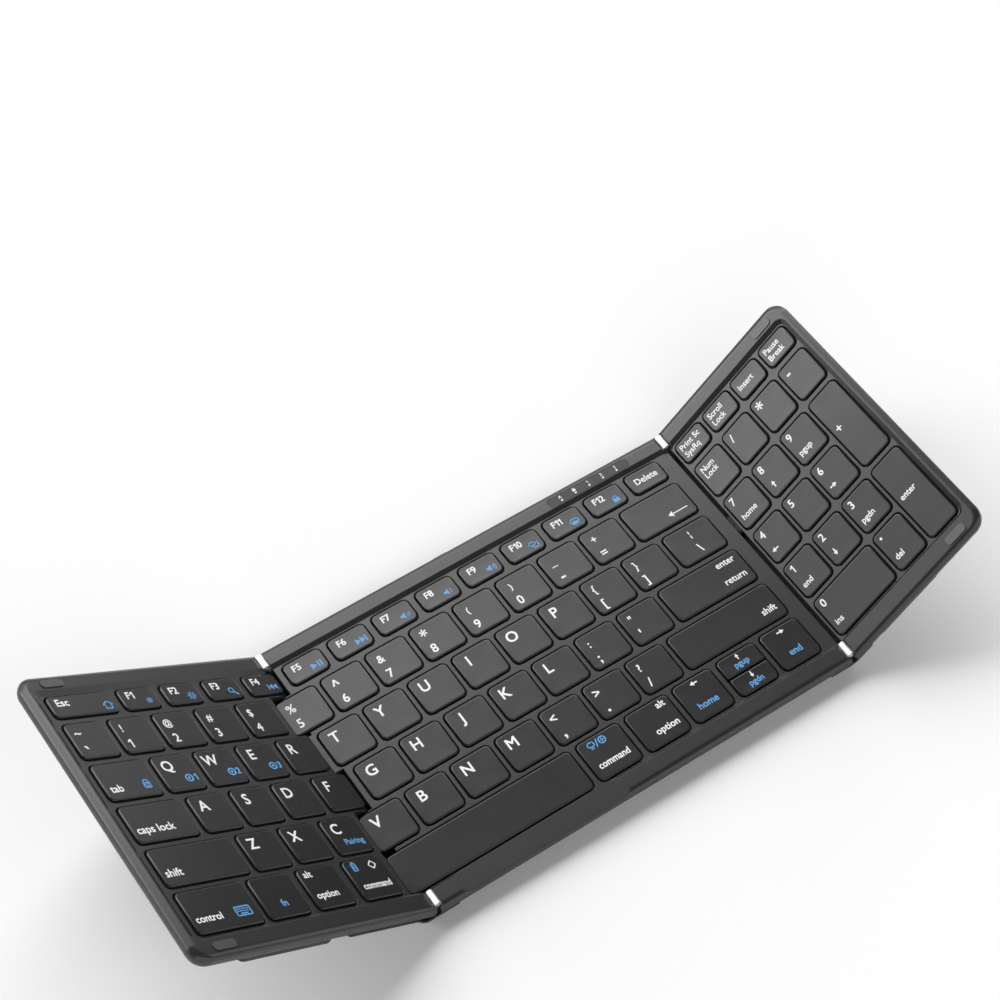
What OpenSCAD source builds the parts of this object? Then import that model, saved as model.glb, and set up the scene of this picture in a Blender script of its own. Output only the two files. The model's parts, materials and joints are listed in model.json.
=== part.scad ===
// Folding keyboard of three panels. Each panel is drawn lying flat in its own coordinates:
// y towards the rear and z = 0 at the top of the rim. On the wings x = 0 is the hinge axis;
// on the middle panel it is halfway between the two axes.

/* [Keys] */
// Width of a letter key's top
key_w = 15.9; // [15:0.1:17]
// Gap between neighbouring letter keys
letter_gap = 2.6; // [2.4:0.05:3]
// Depth of a letter key's top, front to rear
key_d = 15.15; // [14:0.05:16]
// Gap between the rows of letter keys
row_gap = 2.85; // [2.5:0.05:3.2]
// Width of a function key
fn_w = 15.05; // [14.5:0.05:15.5]
// Gap between neighbouring function keys
fn_gap = 3.5; // [3.2:0.05:3.8]
// Depth of a function key
fn_d = 9.2; // [8.5:0.1:10]
// Gap between the function keys and the number row
fn_row_gap = 3; // [2.6:0.1:3.6]
// Depth of the keys in the front row
front_key_d = 16.6; // [16:0.1:17.2]
// Gap between the front row and the row behind it
front_row_gap = 2.55; // [2.3:0.05:3]
// Width of a number-pad key
pad_w = 13.75; // [13.4:0.05:14.5]
// Gap between neighbouring number-pad keys
pad_gap = 2.3; // [2:0.05:2.8]
// Gap between the two low cursor keys
cursor_gap = 0.8; // [0.6:0.05:1.2]
// Width of the key at the left end of the number row
grave_w = 15.55; // [14:0.05:17]
// Width of the backspace key
backspace_w = 26.05; // [24:0.05:29]
// Plan radius of a key's corners
key_r = 1.8; // [1:0.1:2.2]
// Gap between a key and the edge of its opening
key_gap = 0.6; // [0.5:0.05:0.7]
// Height of a key cap
cap_h = 1.9; // [1.7:0.1:1.9]
// Thickness of a key cap's top
cap_top = 0.9; // [0.7:0.1:1]
// Thickness of a key cap's skirt
cap_skirt = 0.9; // [0.7:0.1:1.2]
// How far a key sinks when pressed
key_travel = 1.2; // [0.9:0.1:1.2]

/* [Panels] */
// Thickness of a panel without its feet
panel_t = 7; // [7:0.1:8.5]
// From the last key to the right fold on the middle panel
centre_margin = 6.55; // [6:0.05:9]
// From the right fold to the number pad's first column
pad_margin = 1.8; // [1.7:0.05:2.4]
// From the first column to the outer side of the left wing
left_margin = 6.6; // [6.2:0.1:9]
// From the last column to the outer side of the right wing
right_margin = 5.1; // [5:0.1:8]
// From the front row to the front edge
front_margin = 9.45; // [9.4:0.05:12]
// From the function keys to the rear edge
rear_margin = 9.55; // [9.5:0.05:12]
// How far the deck between the keys lies below the rim's top
deck_drop = 0.85; // [0.6:0.05:0.95]
// How far the keys' tops lie below the rim's top
key_drop = 0.1; // [0.05:0.05:0.2]
// Height of the frame, from the rim's top down to the joint with the case
rim_h = 2; // [2:0.1:2.3]
// Width of the rim's flat top
rim_top_w = 5.3; // [5:0.1:5.5]
// Width of the deck strip that borders a fold
fold_strip = 2.6; // [2.5:0.05:2.8]
// Gap between two panels at a fold, when they lie flat
fold_gap = 0.7; // [0.6:0.05:0.9]
// Radius of a wing's outer corners, seen from above
corner_r = 6.3; // [6.1:0.1:8]
// Radius of the deck's corners, seen from above
deck_r = 2; // [1.5:0.1:2.5]
// How far the rounding under the panels' edges reaches inwards
under_w = 6; // [5:0.1:6]
// Width of the rounding on top of the panels' edges
top_round_w = 2.35; // [1.8:0.05:2.4]
// Height of the rounding on top of the panels' edges
top_round_h = 1.8; // [1.2:0.1:1.8]
// Thickness of the case walls
wall = 1.2; // [1:0.1:1.4]
// Thickness of the case floor
floor_t = 1; // [0.8:0.1:1.1]
// Thickness of the case walls along a fold
fold_wall = 0.7; // [0.6:0.05:0.75]

/* [Folds] */
// How far the left wing is raised from flat, in degrees
left_open = 35.9; // [0:0.1:90]
// How far the right wing is raised from flat, in degrees
right_open = 42.65; // [0:0.1:90]
// Height of the hinge axes above the rim's top
axis_up = 0.3; // [0.3:0.05:0.5]
// Radius of the hinge barrels
barrel_r = 1.5; // [1.4:0.05:1.8]
// Length of a hinge barrel
barrel_len = 5.7; // [5:0.1:5.8]
// Radius of the hinge pins
pin_r = 0.7; // [0.5:0.05:0.8]
// Radial clearance of a hinge pin in the middle panel's knuckle
pin_clear = 0.05; // [0.03:0.01:0.1]
// Length of a hinge leaf, away from its fold
leaf_len = 12; // [12:0.5:14]
// Radius of the bend under the middle panel's left edge
finger_r = 8.6; // [8.4:0.1:9]
// Thickness of the spine covers
cover_t = 0.7; // [0.5:0.05:0.7]
// Gap between a spine cover and the case
cover_gap = 0.2; // [0.15:0.05:0.25]
// Reach of the left cover under the wing
left_cover_wing = 37; // [20:1:40]
// Reach of the right cover under the wing
right_cover_wing = 6.8; // [4:0.1:8]
// Reach of the covers under the middle panel
cover_centre = 8.2; // [5:0.1:12]

/* [Inside] */
// Thickness of the contact membrane
membrane_t = 0.2; // [0.15:0.05:0.25]
// Thickness of the support plate
plate_t = 0.3; // [0.2:0.05:0.35]
// Thickness of the circuit board
board_t = 0.8; // [0.6:0.1:0.9]
// Height of the circuit board above the case floor
board_up = 1; // [0.9:0.1:1.1]
// Length of the battery
battery_l = 60; // [40:1:70]
// Width of the battery
battery_w = 26; // [18:1:28]
// Radius of the screws' shafts
screw_r = 0.7; // [0.6:0.05:0.8]
// Radius of the screws' heads
screw_head_r = 1.4; // [1.2:0.05:1.5]
// Width of the ribbons that cross the folds
ribbon_w = 9; // [5:0.5:11]
// Thickness of the ribbons
ribbon_t = 0.25; // [0.2:0.05:0.4]

/* [Outside] */
// Height of the feet below the cases
foot_h = 1.2; // [1.2:0.1:2]
// Height of the bumper pads above the rim
bumper_h = 0.4; // [0.3:0.05:0.4]
// Width of the bumper pads
bumper_w = 3.2; // [2.6:0.1:3.4]
// Length of the bumper pads
bumper_l = 9; // [6:0.5:11]
// Length of the indicator window
window_l = 35.9; // [30:0.1:38]
// Width of the indicator window
window_w = 3.7; // [3:0.1:3.8]
// Number of indicator lights
lights = 5; // [3:1:5]
// Distance between the indicator lights
light_pitch = 6.2; // [5:0.1:6.4]
// How far the power switch slides
switch_travel = 3; // [2:0.1:3.2]
// Width of the charging socket
port_w = 9; // [8.9:0.1:9.2]
// Height of the charging socket
port_h = 3; // [2.8:0.1:3]

/* [Hidden] */

// Colours
frame_col = "#3b3c3e";
key_col = "#2e2f31";
steel_col = "#c9cbcc";
rubber_col = "#26272a";
plate_col = "#8d9092";
film_col = "#1c1d1f";
dome_col = "#d8d8d2";
link_col = "#e6e6e6";
board_col = "#1f5a3a";
cell_col = "#a9adb3";
window_col = "#17181a";

// ---------------------------------------------------------------- key places
// Numbers of the rows, from the rear to the front
FN = 0;
NUMBERS = 1;
UPPER = 2;
MIDDLE = 3;
LOWER = 4;
FRONT = 5;

// Distance from a key to the next one, and from a row to the next one
key_pitch = key_w + letter_gap;
row_pitch = key_d + row_gap;
fn_pitch = fn_w + fn_gap;
pad_pitch = pad_w + pad_gap;

depth = front_margin + front_key_d + front_row_gap + 3 * row_pitch + key_d
    + fn_row_gap + fn_d + rear_margin;
half_d = depth / 2;
front_y = front_margin - half_d;
lower_y = front_y + front_key_d + front_row_gap;
fn_y = lower_y + 3 * row_pitch + key_d + fn_row_gap;
// Front edge and depth of the keys of each row
row_y = [fn_y, lower_y + 3 * row_pitch, lower_y + 2 * row_pitch, lower_y + row_pitch,
    lower_y, front_y];
row_d = [fn_d, key_d, key_d, key_d, key_d, front_key_d];

// A key is [left edge, right edge, front edge, rear edge]; a cursor key also gives the plan
// radius of its rear corners and of its front corners
function key_at(x0, x1, row) = [x0, x1, row_y[row], row_y[row] + row_d[row]];
function key_run(x0, count, pitch, width, row) =
    [for (i = [0:count - 1]) key_at(x0 + i * pitch, x0 + i * pitch + width, row)];
// Room used by the keys 0 to n of a list of [gap, width]
function used(list, n) = n < 0 ? 0 : list[n][0] + list[n][1] + used(list, n - 1);
function joined(lists) = [for (l = lists) for (e = l) e];

// Left wing: right edge of each row's last key, and how many equal keys end the row
left_end = [1.4, -8.85, -2.6, 1.1, -8.4, -9.2];
left_count = [4, 4, 4, 4, 3];
left_pitch = [fn_pitch, key_pitch, key_pitch, key_pitch, key_pitch];
left_w = [fn_w, key_w, key_w, key_w, key_w];
function left_first(row) = left_end[row] - left_w[row] - (left_count[row] - 1) * left_pitch[row];
block_left = left_first(NUMBERS) - letter_gap - grave_w;
// Front row of the left wing, from the fold outwards: [gap, width]
left_front = [[0, 17.75], [3.85, 16.75], [3.45, 17.6]];
control_gap = 2.3;
function left_front_key(i) = key_at(left_end[FRONT] - used(left_front, i),
    left_end[FRONT] - used(left_front, i) + left_front[i][1], FRONT);
control_key = key_at(block_left, left_end[FRONT] - used(left_front, 2) - control_gap, FRONT);
function left_row(row) = row == FRONT
    ? [control_key, left_front_key(2), left_front_key(1), left_front_key(0)]
    : concat([key_at(block_left, left_first(row) - left_pitch[row] + left_w[row], row)],
        key_run(left_first(row), left_count[row], left_pitch[row], left_w[row], row));
all_left = joined([for (r = [FN:FRONT]) left_row(r)]);

// Middle panel: left edge of each row's first key, measured from the left hinge axis
centre_start = [4.6, -5.6, 0.75, 4.2, -5.1, -5.3];
centre_count = [9, 8, 8, 7, 7];
block_right = centre_start[NUMBERS] + centre_count[NUMBERS] * key_pitch + backspace_w;
axis_span = block_right + centre_margin;
half_span = axis_span / 2;
right_edge = block_right - half_span;
function centre_x(row) = centre_start[row] - half_span;
function long_end(row) =
    key_at(centre_x(row) + centre_count[row] * key_pitch, right_edge, row);
// Front row of the middle panel, from its right end inwards: [gap, width]
centre_front = [[0, 16.3], [2.85, 16.3], [3.1, 16.3], [2.8, 17.75], [3, 17.65]];
space_gap = 2.95;
function front_key(i) = key_at(right_edge - used(centre_front, i),
    right_edge - used(centre_front, i) + centre_front[i][1], FRONT);
space_key = key_at(centre_x(FRONT), right_edge - used(centre_front, 4) - space_gap, FRONT);
// Two low cursor keys share one place of the front row
cursor_place = front_key(1);
cursor_r = 0.4;
cursor_d = (front_key_d - cursor_gap) / 2;
cursor_down = [cursor_place[0], cursor_place[1], front_y, front_y + cursor_d, cursor_r, key_r];
cursor_up = [cursor_place[0], cursor_place[1], front_y + front_key_d - cursor_d,
    front_y + front_key_d, key_r, cursor_r];
function rear_r(k) = len(k) > 4 ? k[4] : key_r;
function front_r(k) = len(k) > 4 ? k[5] : key_r;
front_places = [front_key(0), front_key(2), front_key(3), front_key(4)];
function centre_row(row) =
    row == FN ? key_run(centre_x(FN), centre_count[FN], fn_pitch, fn_w, FN)
    : row == FRONT ? concat(front_places, [cursor_down, cursor_up])
    : concat(key_run(centre_x(row), centre_count[row], key_pitch, key_w, row),
        row == MIDDLE ? [] : [long_end(row)]);
enter_place = long_end(MIDDLE);
all_centre = concat(joined([for (r = [FN:FRONT]) centre_row(r)]), [enter_place, space_key]);
// Openings for the middle panel's keys: the two cursor keys share one
centre_openings = concat(joined([for (r = [FN:LOWER]) centre_row(r)]), front_places,
    [cursor_place, enter_place, space_key]);

// Number pad on the right wing
function pad_x(i) = pad_margin + i * pad_pitch;
pad_right = pad_x(3) + pad_w;
pad_plus = [pad_x(3), pad_right, row_y[MIDDLE], row_y[UPPER] + row_d[UPPER]];
pad_enter = [pad_x(3), pad_right, row_y[FRONT], row_y[LOWER] + row_d[LOWER]];
function pad_row(row) =
    row == FRONT ? [key_at(pad_x(0), pad_x(1) + pad_w, FRONT),
        key_at(pad_x(2), pad_x(2) + pad_w, FRONT)]
    : concat(key_run(pad_x(0), row < UPPER ? 4 : 3, pad_pitch, pad_w, row),
        row == UPPER ? [pad_plus] : row == LOWER ? [pad_enter] : []);
all_right = joined([for (r = [FN:FRONT]) pad_row(r)]);

left_len = left_margin - block_left;
right_len = pad_right + right_margin;

// ---------------------------------------------------------------- heights and folds
cap_z = -key_drop - cap_h;
sink_gap = 0.1;
membrane_z = cap_z - key_travel - sink_gap - membrane_t;
plate_z = membrane_z - plate_t;
floor_z = floor_t - panel_t;
part_gap = 0.05;
case_top = -rim_h - part_gap;
under_h = panel_t + case_top;
rest_z = panel_t + foot_h;
far = 250;

// Sideways reach of each raised wing; the whole is centred between the two
function reach(len, a) = (len - under_w) * cos(a) + (axis_up - case_top) * sin(a)
    + sqrt(pow(under_w * cos(a), 2) + pow(under_h * sin(a), 2));
shift_x = (reach(left_len, left_open) - reach(right_len, right_open)) / 2;

// Edges of the panels along the left fold, from the rear rim over the rows to the front rim.
// A key may stand out over the edge of its case by lip, and the deck then ends at the rim line.
lip = 0.1;
rim_fold = fold_gap / 2;
wing_upper = left_end[UPPER] + rim_fold;
wing_case = [-rim_fold, left_end[FN] - lip, left_end[NUMBERS] + fold_strip, wing_upper,
    left_end[MIDDLE] - lip, left_end[LOWER] + fold_strip, left_end[FRONT] + fold_strip,
    -rim_fold];
wing_deck = [-rim_fold, -rim_fold, wing_case[2], wing_upper, -rim_fold, wing_case[5],
    wing_case[6], -rim_fold];
mid_case = [rim_fold, centre_start[FN] - fold_strip, centre_start[NUMBERS] + lip,
    centre_start[UPPER] - fold_strip, centre_start[MIDDLE] - fold_strip,
    centre_start[LOWER] + lip, centre_start[FRONT] + lip, rim_fold];
mid_deck = [rim_fold, mid_case[1], -rim_fold, mid_case[3], mid_case[4], -rim_fold,
    -rim_fold, rim_fold];
// Lines between the rim and the rows, and from row to row
rim_in = 0.7;
rear_line = fn_y + fn_d + rim_in;
fold_y = concat([rear_line], [for (r = [FN:LOWER]) (row_y[r] + row_y[r + 1] + row_d[r + 1]) / 2],
    [front_y - rim_in]);
row_clear = 0.3;

// Stepped line of a fold. side is 1 for the panel on the left of the line and -1 for the one
// on its right; inset moves the line into that panel.
function line_y(xs, side, inset, i) =
    fold_y[i] + (row_clear + inset) * sign(side * (xs[i] - xs[i + 1]));
function fold_line(xs, side, inset) = [for (i = [0:len(xs) - 1]) for (k = [0, 1])
    [xs[i] - side * inset,
     k == 0 ? (i == 0 ? far : line_y(xs, side, inset, i - 1))
            : (i == len(xs) - 1 ? -far : line_y(xs, side, inset, i))]];
module left_of(xs, inset) {
    polygon(concat([[-far, far]], fold_line(xs, 1, inset), [[-far, -far]]));
}
module right_of(xs, inset) {
    polygon(concat([[far, far]], fold_line(xs, -1, inset), [[far, -far]]));
}

// ---------------------------------------------------------------- small helpers
module prism(z0, z1) {
    translate([0, 0, z0])
        linear_extrude(z1 - z0)
            children();
}
module mirror_x() {
    mirror([1, 0, 0])
        children();
}
// The same thing at the rear and, mirrored, at the front
module both_rims() {
    children();
    mirror([0, 1, 0])
        children();
}
// A round bar along y, centred at y
module bar_y(r, y, len) {
    translate([0, y + len / 2, 0])
        rotate([90, 0, 0])
            cylinder(r = r, h = len, $fn = 48);
}
// Rectangle with round corners, as one outline
corner_steps = 3;
function corner(cx, cy, r, a) = [for (i = [0:corner_steps])
    [cx + r * cos(a + 90 * i / corner_steps), cy + r * sin(a + 90 * i / corner_steps)]];
module two_radius_rect(x0, x1, y0, y1, rear, front) {
    polygon(concat(corner(x1 - rear, y1 - rear, rear, 0), corner(x0 + rear, y1 - rear, rear, 90),
        corner(x0 + front, y0 + front, front, 180), corner(x1 - front, y0 + front, front, 270)));
}
module round_rect(x0, x1, y0, y1, r) {
    two_radius_rect(x0, x1, y0, y1, r, r);
}
module key_outline(k, grow) {
    two_radius_rect(k[0] - grow, k[1] + grow, k[2] - grow, k[3] + grow, rear_r(k) + grow,
        front_r(k) + grow);
}

// ---------------------------------------------------------------- panel shells
// Sections through a panel's edge, from below upwards: s runs outwards and ends at corner_r
arc_steps = 10;
rim_section = concat([[corner_r, -rim_h]], [for (i = [0:arc_steps])
    [corner_r - top_round_w + top_round_w * cos(90 * i / arc_steps),
     -top_round_h + top_round_h * sin(90 * i / arc_steps)]]);
function under_section(t, z_low) = [for (i = [arc_steps:-1:0])
    [corner_r - under_w + (under_w - t) * cos(90 * i / arc_steps),
     case_top + (z_low - case_top) * sin(90 * i / arc_steps)]];
case_section = under_section(0, -panel_t);
hollow_section = concat(under_section(wall, floor_z), [[corner_r - wall, case_top + 1]]);

// A slab with that section along its front and rear edges. x1 is its outer side, which has
// the section too, with round corners, when round_end is true.
module slab(section, x0, x1, round_end) {
    core = half_d - corner_r;
    x_end = round_end ? x1 - corner_r : x1;
    z_low = section[0][1];
    z_top = section[len(section) - 1][1];
    translate([x0, 0, 0])
        rotate([90, 0, 90])
            linear_extrude(x_end - x0)
                polygon(concat([for (p = section) [p[0] + core, p[1]]],
                    [for (i = [len(section) - 1:-1:0]) [-section[i][0] - core, section[i][1]]]));
    if (round_end) {
        translate([x_end, core, 0])
            rotate([90, 0, 0])
                linear_extrude(2 * core)
                    polygon(concat([[-1, z_top], [-1, z_low]], section));
        both_rims()
            translate([x_end, core, 0])
                rotate_extrude(angle = 90)
                    polygon(concat([[0, z_top], [0, z_low]], section));
    }
}

// The sunken deck with its slopes up to the rim. Each of its sides is a half space that ends
// beyond the point [x, y] by out, in the direction turn, and slopes outwards up to the rim.
front_slope = 0.9;
rear_slope = 1.7;
side_slope = 1.7;
side_rim = 2.7;
well_front = -half_d + top_round_w + rim_top_w + front_slope;
well_rear = half_d - top_round_w - rim_top_w + 1 - rear_slope;
above = 1;
past = 1;
facet_turn = 15;
module sloped_side(x, y, turn, out, slope) {
    grow = 1 + above / deck_drop;
    translate([x, y, 0])
        rotate([90, 0, turn])
            linear_extrude(2 * far, center = true)
                polygon([[-far, -deck_drop], [out, -deck_drop], [out + slope * grow, above],
                    [-far, above]]);
}
module well(x0, x1) {
    intersection() {
        sloped_side(0, well_rear, 90, 0, rear_slope);
        sloped_side(0, well_front, -90, 0, front_slope);
        translate([x0 - past, -half_d, -deck_drop - past])
            cube([x1 - x0 + 2 * past, depth, deck_drop + above + 2 * past]);
    }
}
// A well whose outer side, at x1, has a slope and round corners too
module round_well(x0, x1) {
    x = x1 - side_rim - side_slope - deck_r;
    intersection() {
        well(x0, x1);
        intersection_for(turn = [facet_turn - 90:facet_turn:90 - facet_turn])
            sloped_side(x, turn < 0 ? well_front + deck_r : well_rear - deck_r, turn, deck_r,
                side_slope * pow(cos(turn), 2)
                + (turn < 0 ? front_slope : rear_slope) * pow(sin(turn), 2));
    }
}
module key_openings(keys) {
    prism(-rim_h - 1, 1)
        for (k = keys)
            key_outline(k, key_gap);
}
// Room in the case walls that the key caps sink into
module sink_room(keys) {
    prism(membrane_z, 1)
        for (k = keys)
            key_outline(k, key_gap / 2);
}

// ---------------------------------------------------------------- hinges
barrel_y = half_d - 4.6;
notch_gap = 0.3;
knuckle_gap = 0.06;
knuckle_len = (barrel_len - knuckle_gap) / 2;
knuckle_y = (knuckle_len + knuckle_gap) / 2;
tab_x = 0.5;
tab_t = 0.9;
leaf_t = 0.8;
leaf_z = -rim_h - 0.1;
leaf_in = 0.9;
leaf_holes = [4, 9.5];
leaf_gap = 0.2;
pin_out = 0.2;
fit = 0.1;
rim_y0 = barrel_y - barrel_len / 2;

// Cuts that one side of a hinge makes in the frame on the side x > 0
module hinge_notches() {
    both_rims() {
        translate([0, 0, axis_up])
            bar_y(barrel_r + notch_gap, barrel_y, barrel_len + 2 * notch_gap);
        translate([-far, rim_y0 - notch_gap, -rim_h - 1])
            cube([far + tab_x + tab_t + notch_gap, barrel_len + 2 * notch_gap, rim_h + 1]);
        for (x = leaf_holes)
            translate([x, barrel_y, 0])
                pilot();
    }
}
// Room for a leaf in the case
module leaf_room() {
    both_rims()
        translate([-1, rim_y0 - leaf_in - leaf_gap, leaf_z - leaf_t - leaf_gap])
            cube([leaf_len + 1 + leaf_gap, barrel_len + leaf_in + 2 * leaf_gap, rim_h + 2]);
}
// Leaf on the side x > 0. toward is 1 for the outer knuckle and -1 for the inner one.
module leaves(toward, bore_r) {
    y = barrel_y + toward * knuckle_y;
    both_rims()
        difference() {
            union() {
                translate([0, 0, axis_up])
                    bar_y(barrel_r, y, knuckle_len);
                translate([tab_x, y - knuckle_len / 2, leaf_z - leaf_t])
                    cube([tab_t, knuckle_len, axis_up - leaf_z + leaf_t]);
                translate([tab_x, rim_y0 - leaf_in, leaf_z - leaf_t])
                    cube([leaf_len - tab_x, barrel_len + leaf_in, leaf_t]);
            }
            translate([0, 0, axis_up])
                bar_y(bore_r, y, knuckle_len + 2);
            for (x = leaf_holes)
                translate([x, barrel_y, leaf_z - leaf_t - 1])
                    cylinder(r = screw_r + fit, h = leaf_t + 2, $fn = 24);
        }
}
module pins() {
    both_rims()
        translate([0, 0, axis_up])
            bar_y(pin_r, barrel_y, barrel_len + 2 * pin_out);
}

// ---------------------------------------------------------------- screws and posts
screw_y = half_d - 5.9;
head_h = 0.8;
leaf_head_h = 0.6;
head_in = 0.3;
post_r = 2.2;
pilot_z = -1.2;
sunk = 0.3;
head_z = head_in - panel_t;
// From the outer side or a hinge axis to the screws
left_screw_out = 12;
left_screw_in = 32;
centre_screw_left = 21.5;
centre_screw_right = 63.5;
right_screw_in = 16;
right_screw_out = 11;
left_screws_x = [left_screw_out - left_len, -left_screw_in];
centre_screws_x = [centre_screw_left - half_span, half_span - centre_screw_right];
right_screws_x = [right_screw_in, right_len - right_screw_out];
module at_screws(xs) {
    for (x = xs, y = [-screw_y, screw_y])
        translate([x, y, 0])
            children();
}
module screw(z, h) {
    translate([0, 0, z]) {
        cylinder(r = screw_head_r, h = h, $fn = 24);
        cylinder(r = screw_r, h = pilot_z - z, $fn = 24);
    }
}
module leaf_screws() {
    both_rims()
        for (x = leaf_holes)
            translate([x, barrel_y, 0])
                screw(leaf_z - leaf_t - leaf_head_h, leaf_head_h);
}
module pilot() {
    translate([0, 0, -rim_h - 1])
        cylinder(r = screw_r, h = pilot_z + rim_h + 1, $fn = 24);
}
module screw_posts(xs) {
    at_screws(xs)
        translate([0, 0, floor_z - sunk])
            cylinder(r = post_r, h = case_top - floor_z + sunk, $fn = 24);
}
module screw_bores(xs) {
    at_screws(xs)
        translate([0, 0, -panel_t - 1]) {
            cylinder(r = screw_r + fit, h = panel_t, $fn = 24);
            cylinder(r = screw_head_r + fit, h = 1 + head_in + head_h, $fn = 24);
        }
}
// Posts that carry the support plate, in the gaps between the rows
plate_post_r = 1;
function post_y(row) = row_y[row] - (row_y[row] - row_y[row + 1] - row_d[row + 1]) / 2;
module plate_posts(xs) {
    for (x = xs, r = [NUMBERS, MIDDLE])
        translate([x, post_y(r), floor_z - sunk])
            cylinder(r = plate_post_r, h = plate_z - floor_z + sunk, $fn = 24);
}
// From the outer side or a hinge axis to the posts
left_post_out = 19;
left_post_in = 14;
centre_post_left = 12;
centre_post_mid = 8;
centre_post_right = 8;
right_post_in = 10;
right_post_out = 12;
left_posts_x = [left_post_out - left_len, -left_len / 2, -left_post_in];
centre_posts_x = [centre_post_left - half_span, -centre_post_mid, half_span - centre_post_right];
right_posts_x = [right_post_in, right_len - right_post_out];

// Rounding of a wing's lower edge beside its hinges. side is 1 on the left wing.
fold_round_w = 5;
module fold_round(side) {
    w = fold_round_w + 3;
    both_rims()
        translate([0, half_d + 1, 0])
            rotate([90, 0, 0])
                linear_extrude(half_d + 1 - rear_line)
                    polygon(concat([[-side * w, -panel_t - 1], [side * w, -panel_t - 1],
                        [side * w, case_top]], [for (i = [0:arc_steps])
                            [-side * (rim_fold + fold_round_w * (1 - cos(90 * i / arc_steps))),
                             case_top - under_h * sin(90 * i / arc_steps)]],
                        [[-side * w, -panel_t]]));
}

// ---------------------------------------------------------------- ribbons
ribbon_y = row_y[UPPER] + key_d / 2;
ribbon_z = plate_z - 1.2;
ribbon_r = axis_up - ribbon_z;
ribbon_centre = 9;
ribbon_wing = 11;
// Slot for the ribbon in the case wall beside a fold
module ribbon_window() {
    slot = 0.7;
    translate([-5, ribbon_y - ribbon_w / 2 - fit, ribbon_z - slot])
        cube([10, ribbon_w + 2 * fit, 2 * slot]);
}
// Ribbon along the fold at x = 0 whose wing lies on the side x < 0, raised by a
module ribbon(a) {
    color(film_col)
        translate([0, ribbon_y, 0]) {
            translate([0, -ribbon_w / 2, -ribbon_r - ribbon_t / 2])
                cube([ribbon_centre, ribbon_w, ribbon_t]);
            rotate([90, 90, 0])
                translate([0, 0, -ribbon_w / 2])
                    mirror([0, 1, 0])
                        rotate_extrude(angle = a, $fn = 96)
                            translate([ribbon_r - ribbon_t / 2, 0])
                                square([ribbon_t, ribbon_w]);
            rotate([0, a, 0])
                translate([-ribbon_wing, -ribbon_w / 2, -ribbon_r - ribbon_t / 2])
                    cube([ribbon_wing, ribbon_w, ribbon_t]);
        }
}

// ---------------------------------------------------------------- spine covers
// A cover is one bent sheet. Its path lies under the middle panel, bends round the hinge axis
// and goes on under the wing. Each station is [x, z, angle of the path's normal].
cover_mid = axis_up + panel_t + cover_gap + cover_t / 2;
bend_steps = 12;
lap = 5;
function left_bend(a) = let (r = finger_r + cover_gap + cover_t / 2 + 0.05,
        b0 = acos(cover_mid / r), b1 = b0 + lap)
    concat([[cover_centre, -cover_mid, 0]],
        [for (i = [0:bend_steps]) let (t = i / bend_steps, flat_b = b0 + (b1 - b0) * t,
            b = flat_b + a * t, d = cover_mid / cos(flat_b))
            [-d * sin(b), -d * cos(b), b * (1 - abs(2 * t - 1)) + (t < 0.5 ? 0 : a * (2 * t - 1))]],
        [[-left_cover_wing * cos(a) - cover_mid * sin(a),
          left_cover_wing * sin(a) - cover_mid * cos(a), a]]);
function right_bend(a) = concat([[cover_centre, -cover_mid, 0]],
    [for (i = [0:bend_steps]) let (b = a * i / bend_steps)
        [-cover_mid * sin(b), -cover_mid * cos(b), b]],
    [[-right_cover_wing * cos(a) - cover_mid * sin(a),
      right_cover_wing * sin(a) - cover_mid * cos(a), a]]);
// The sheet's section: y, and how far the sheet curls up along the panels' lower edges
curl_steps = 5;
curl = 50;
core_y = half_d - under_w;
function sheet_half(t) = let (grow = cover_gap + cover_t / 2 + t)
    [for (i = [0:curl_steps]) let (c = curl * i / curl_steps)
        [core_y + (under_w + grow) * sin(c), (under_h + grow) * (1 - cos(c)) - t]];
function sheet_line(t) = let (h = sheet_half(t))
    concat([for (i = [curl_steps:-1:0]) [-h[i][0], h[i][1]]], h);
module cover(path) {
    outer = sheet_line(cover_t / 2);
    inner = sheet_line(-cover_t / 2);
    ring = concat(outer, [for (i = [len(inner) - 1:-1:0]) inner[i]]);
    n = len(ring);
    points = [for (p = path) for (q = ring)
        [p[0] + q[1] * sin(p[2]), q[0], p[1] + q[1] * cos(p[2])]];
    sides = [for (j = [0:len(path) - 2]) for (i = [0:n - 1]) let (k = (i + 1) % n)
        each [[j * n + i, j * n + k, (j + 1) * n + i],
              [j * n + k, (j + 1) * n + k, (j + 1) * n + i]]];
    half = n / 2;
    caps = [for (i = [0:half - 2]) each [[i, n - 1 - i, i + 1],
        [i + 1, n - 1 - i, n - 2 - i]]];
    last = (len(path) - 1) * n;
    ends = [for (f = caps) [f[2] + last, f[1] + last, f[0] + last]];
    color(rubber_col)
        polyhedron(points, concat(sides, caps, ends), convexity = 6);
}

// ---------------------------------------------------------------- placing
module place_centre() {
    translate([shift_x, 0, rest_z])
        children();
}
module place_left() {
    translate([shift_x - half_span, 0, rest_z + axis_up])
        rotate([0, left_open, 0])
            translate([0, 0, -axis_up])
                children();
}
module place_right() {
    translate([shift_x + half_span, 0, rest_z + axis_up])
        rotate([0, -right_open, 0])
            translate([0, 0, -axis_up])
                children();
}
module at_left_axis() {
    translate([-half_span, 0, 0])
        children();
}
module at_right_axis() {
    translate([half_span, 0, 0])
        mirror_x()
            children();
}

// ---------------------------------------------------------------- keys
module caps(keys) {
    color(key_col)
        for (k = keys)
            difference() {
                prism(cap_z, -key_drop)
                    key_outline(k, 0);
                prism(cap_z - 1, -key_drop - cap_top)
                    square_of(k, cap_skirt);
            }
}
module square_of(k, inset) {
    translate([k[0] + inset, k[2] + inset])
        square([k[1] - k[0] - 2 * inset, k[3] - k[2] - 2 * inset]);
}

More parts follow.
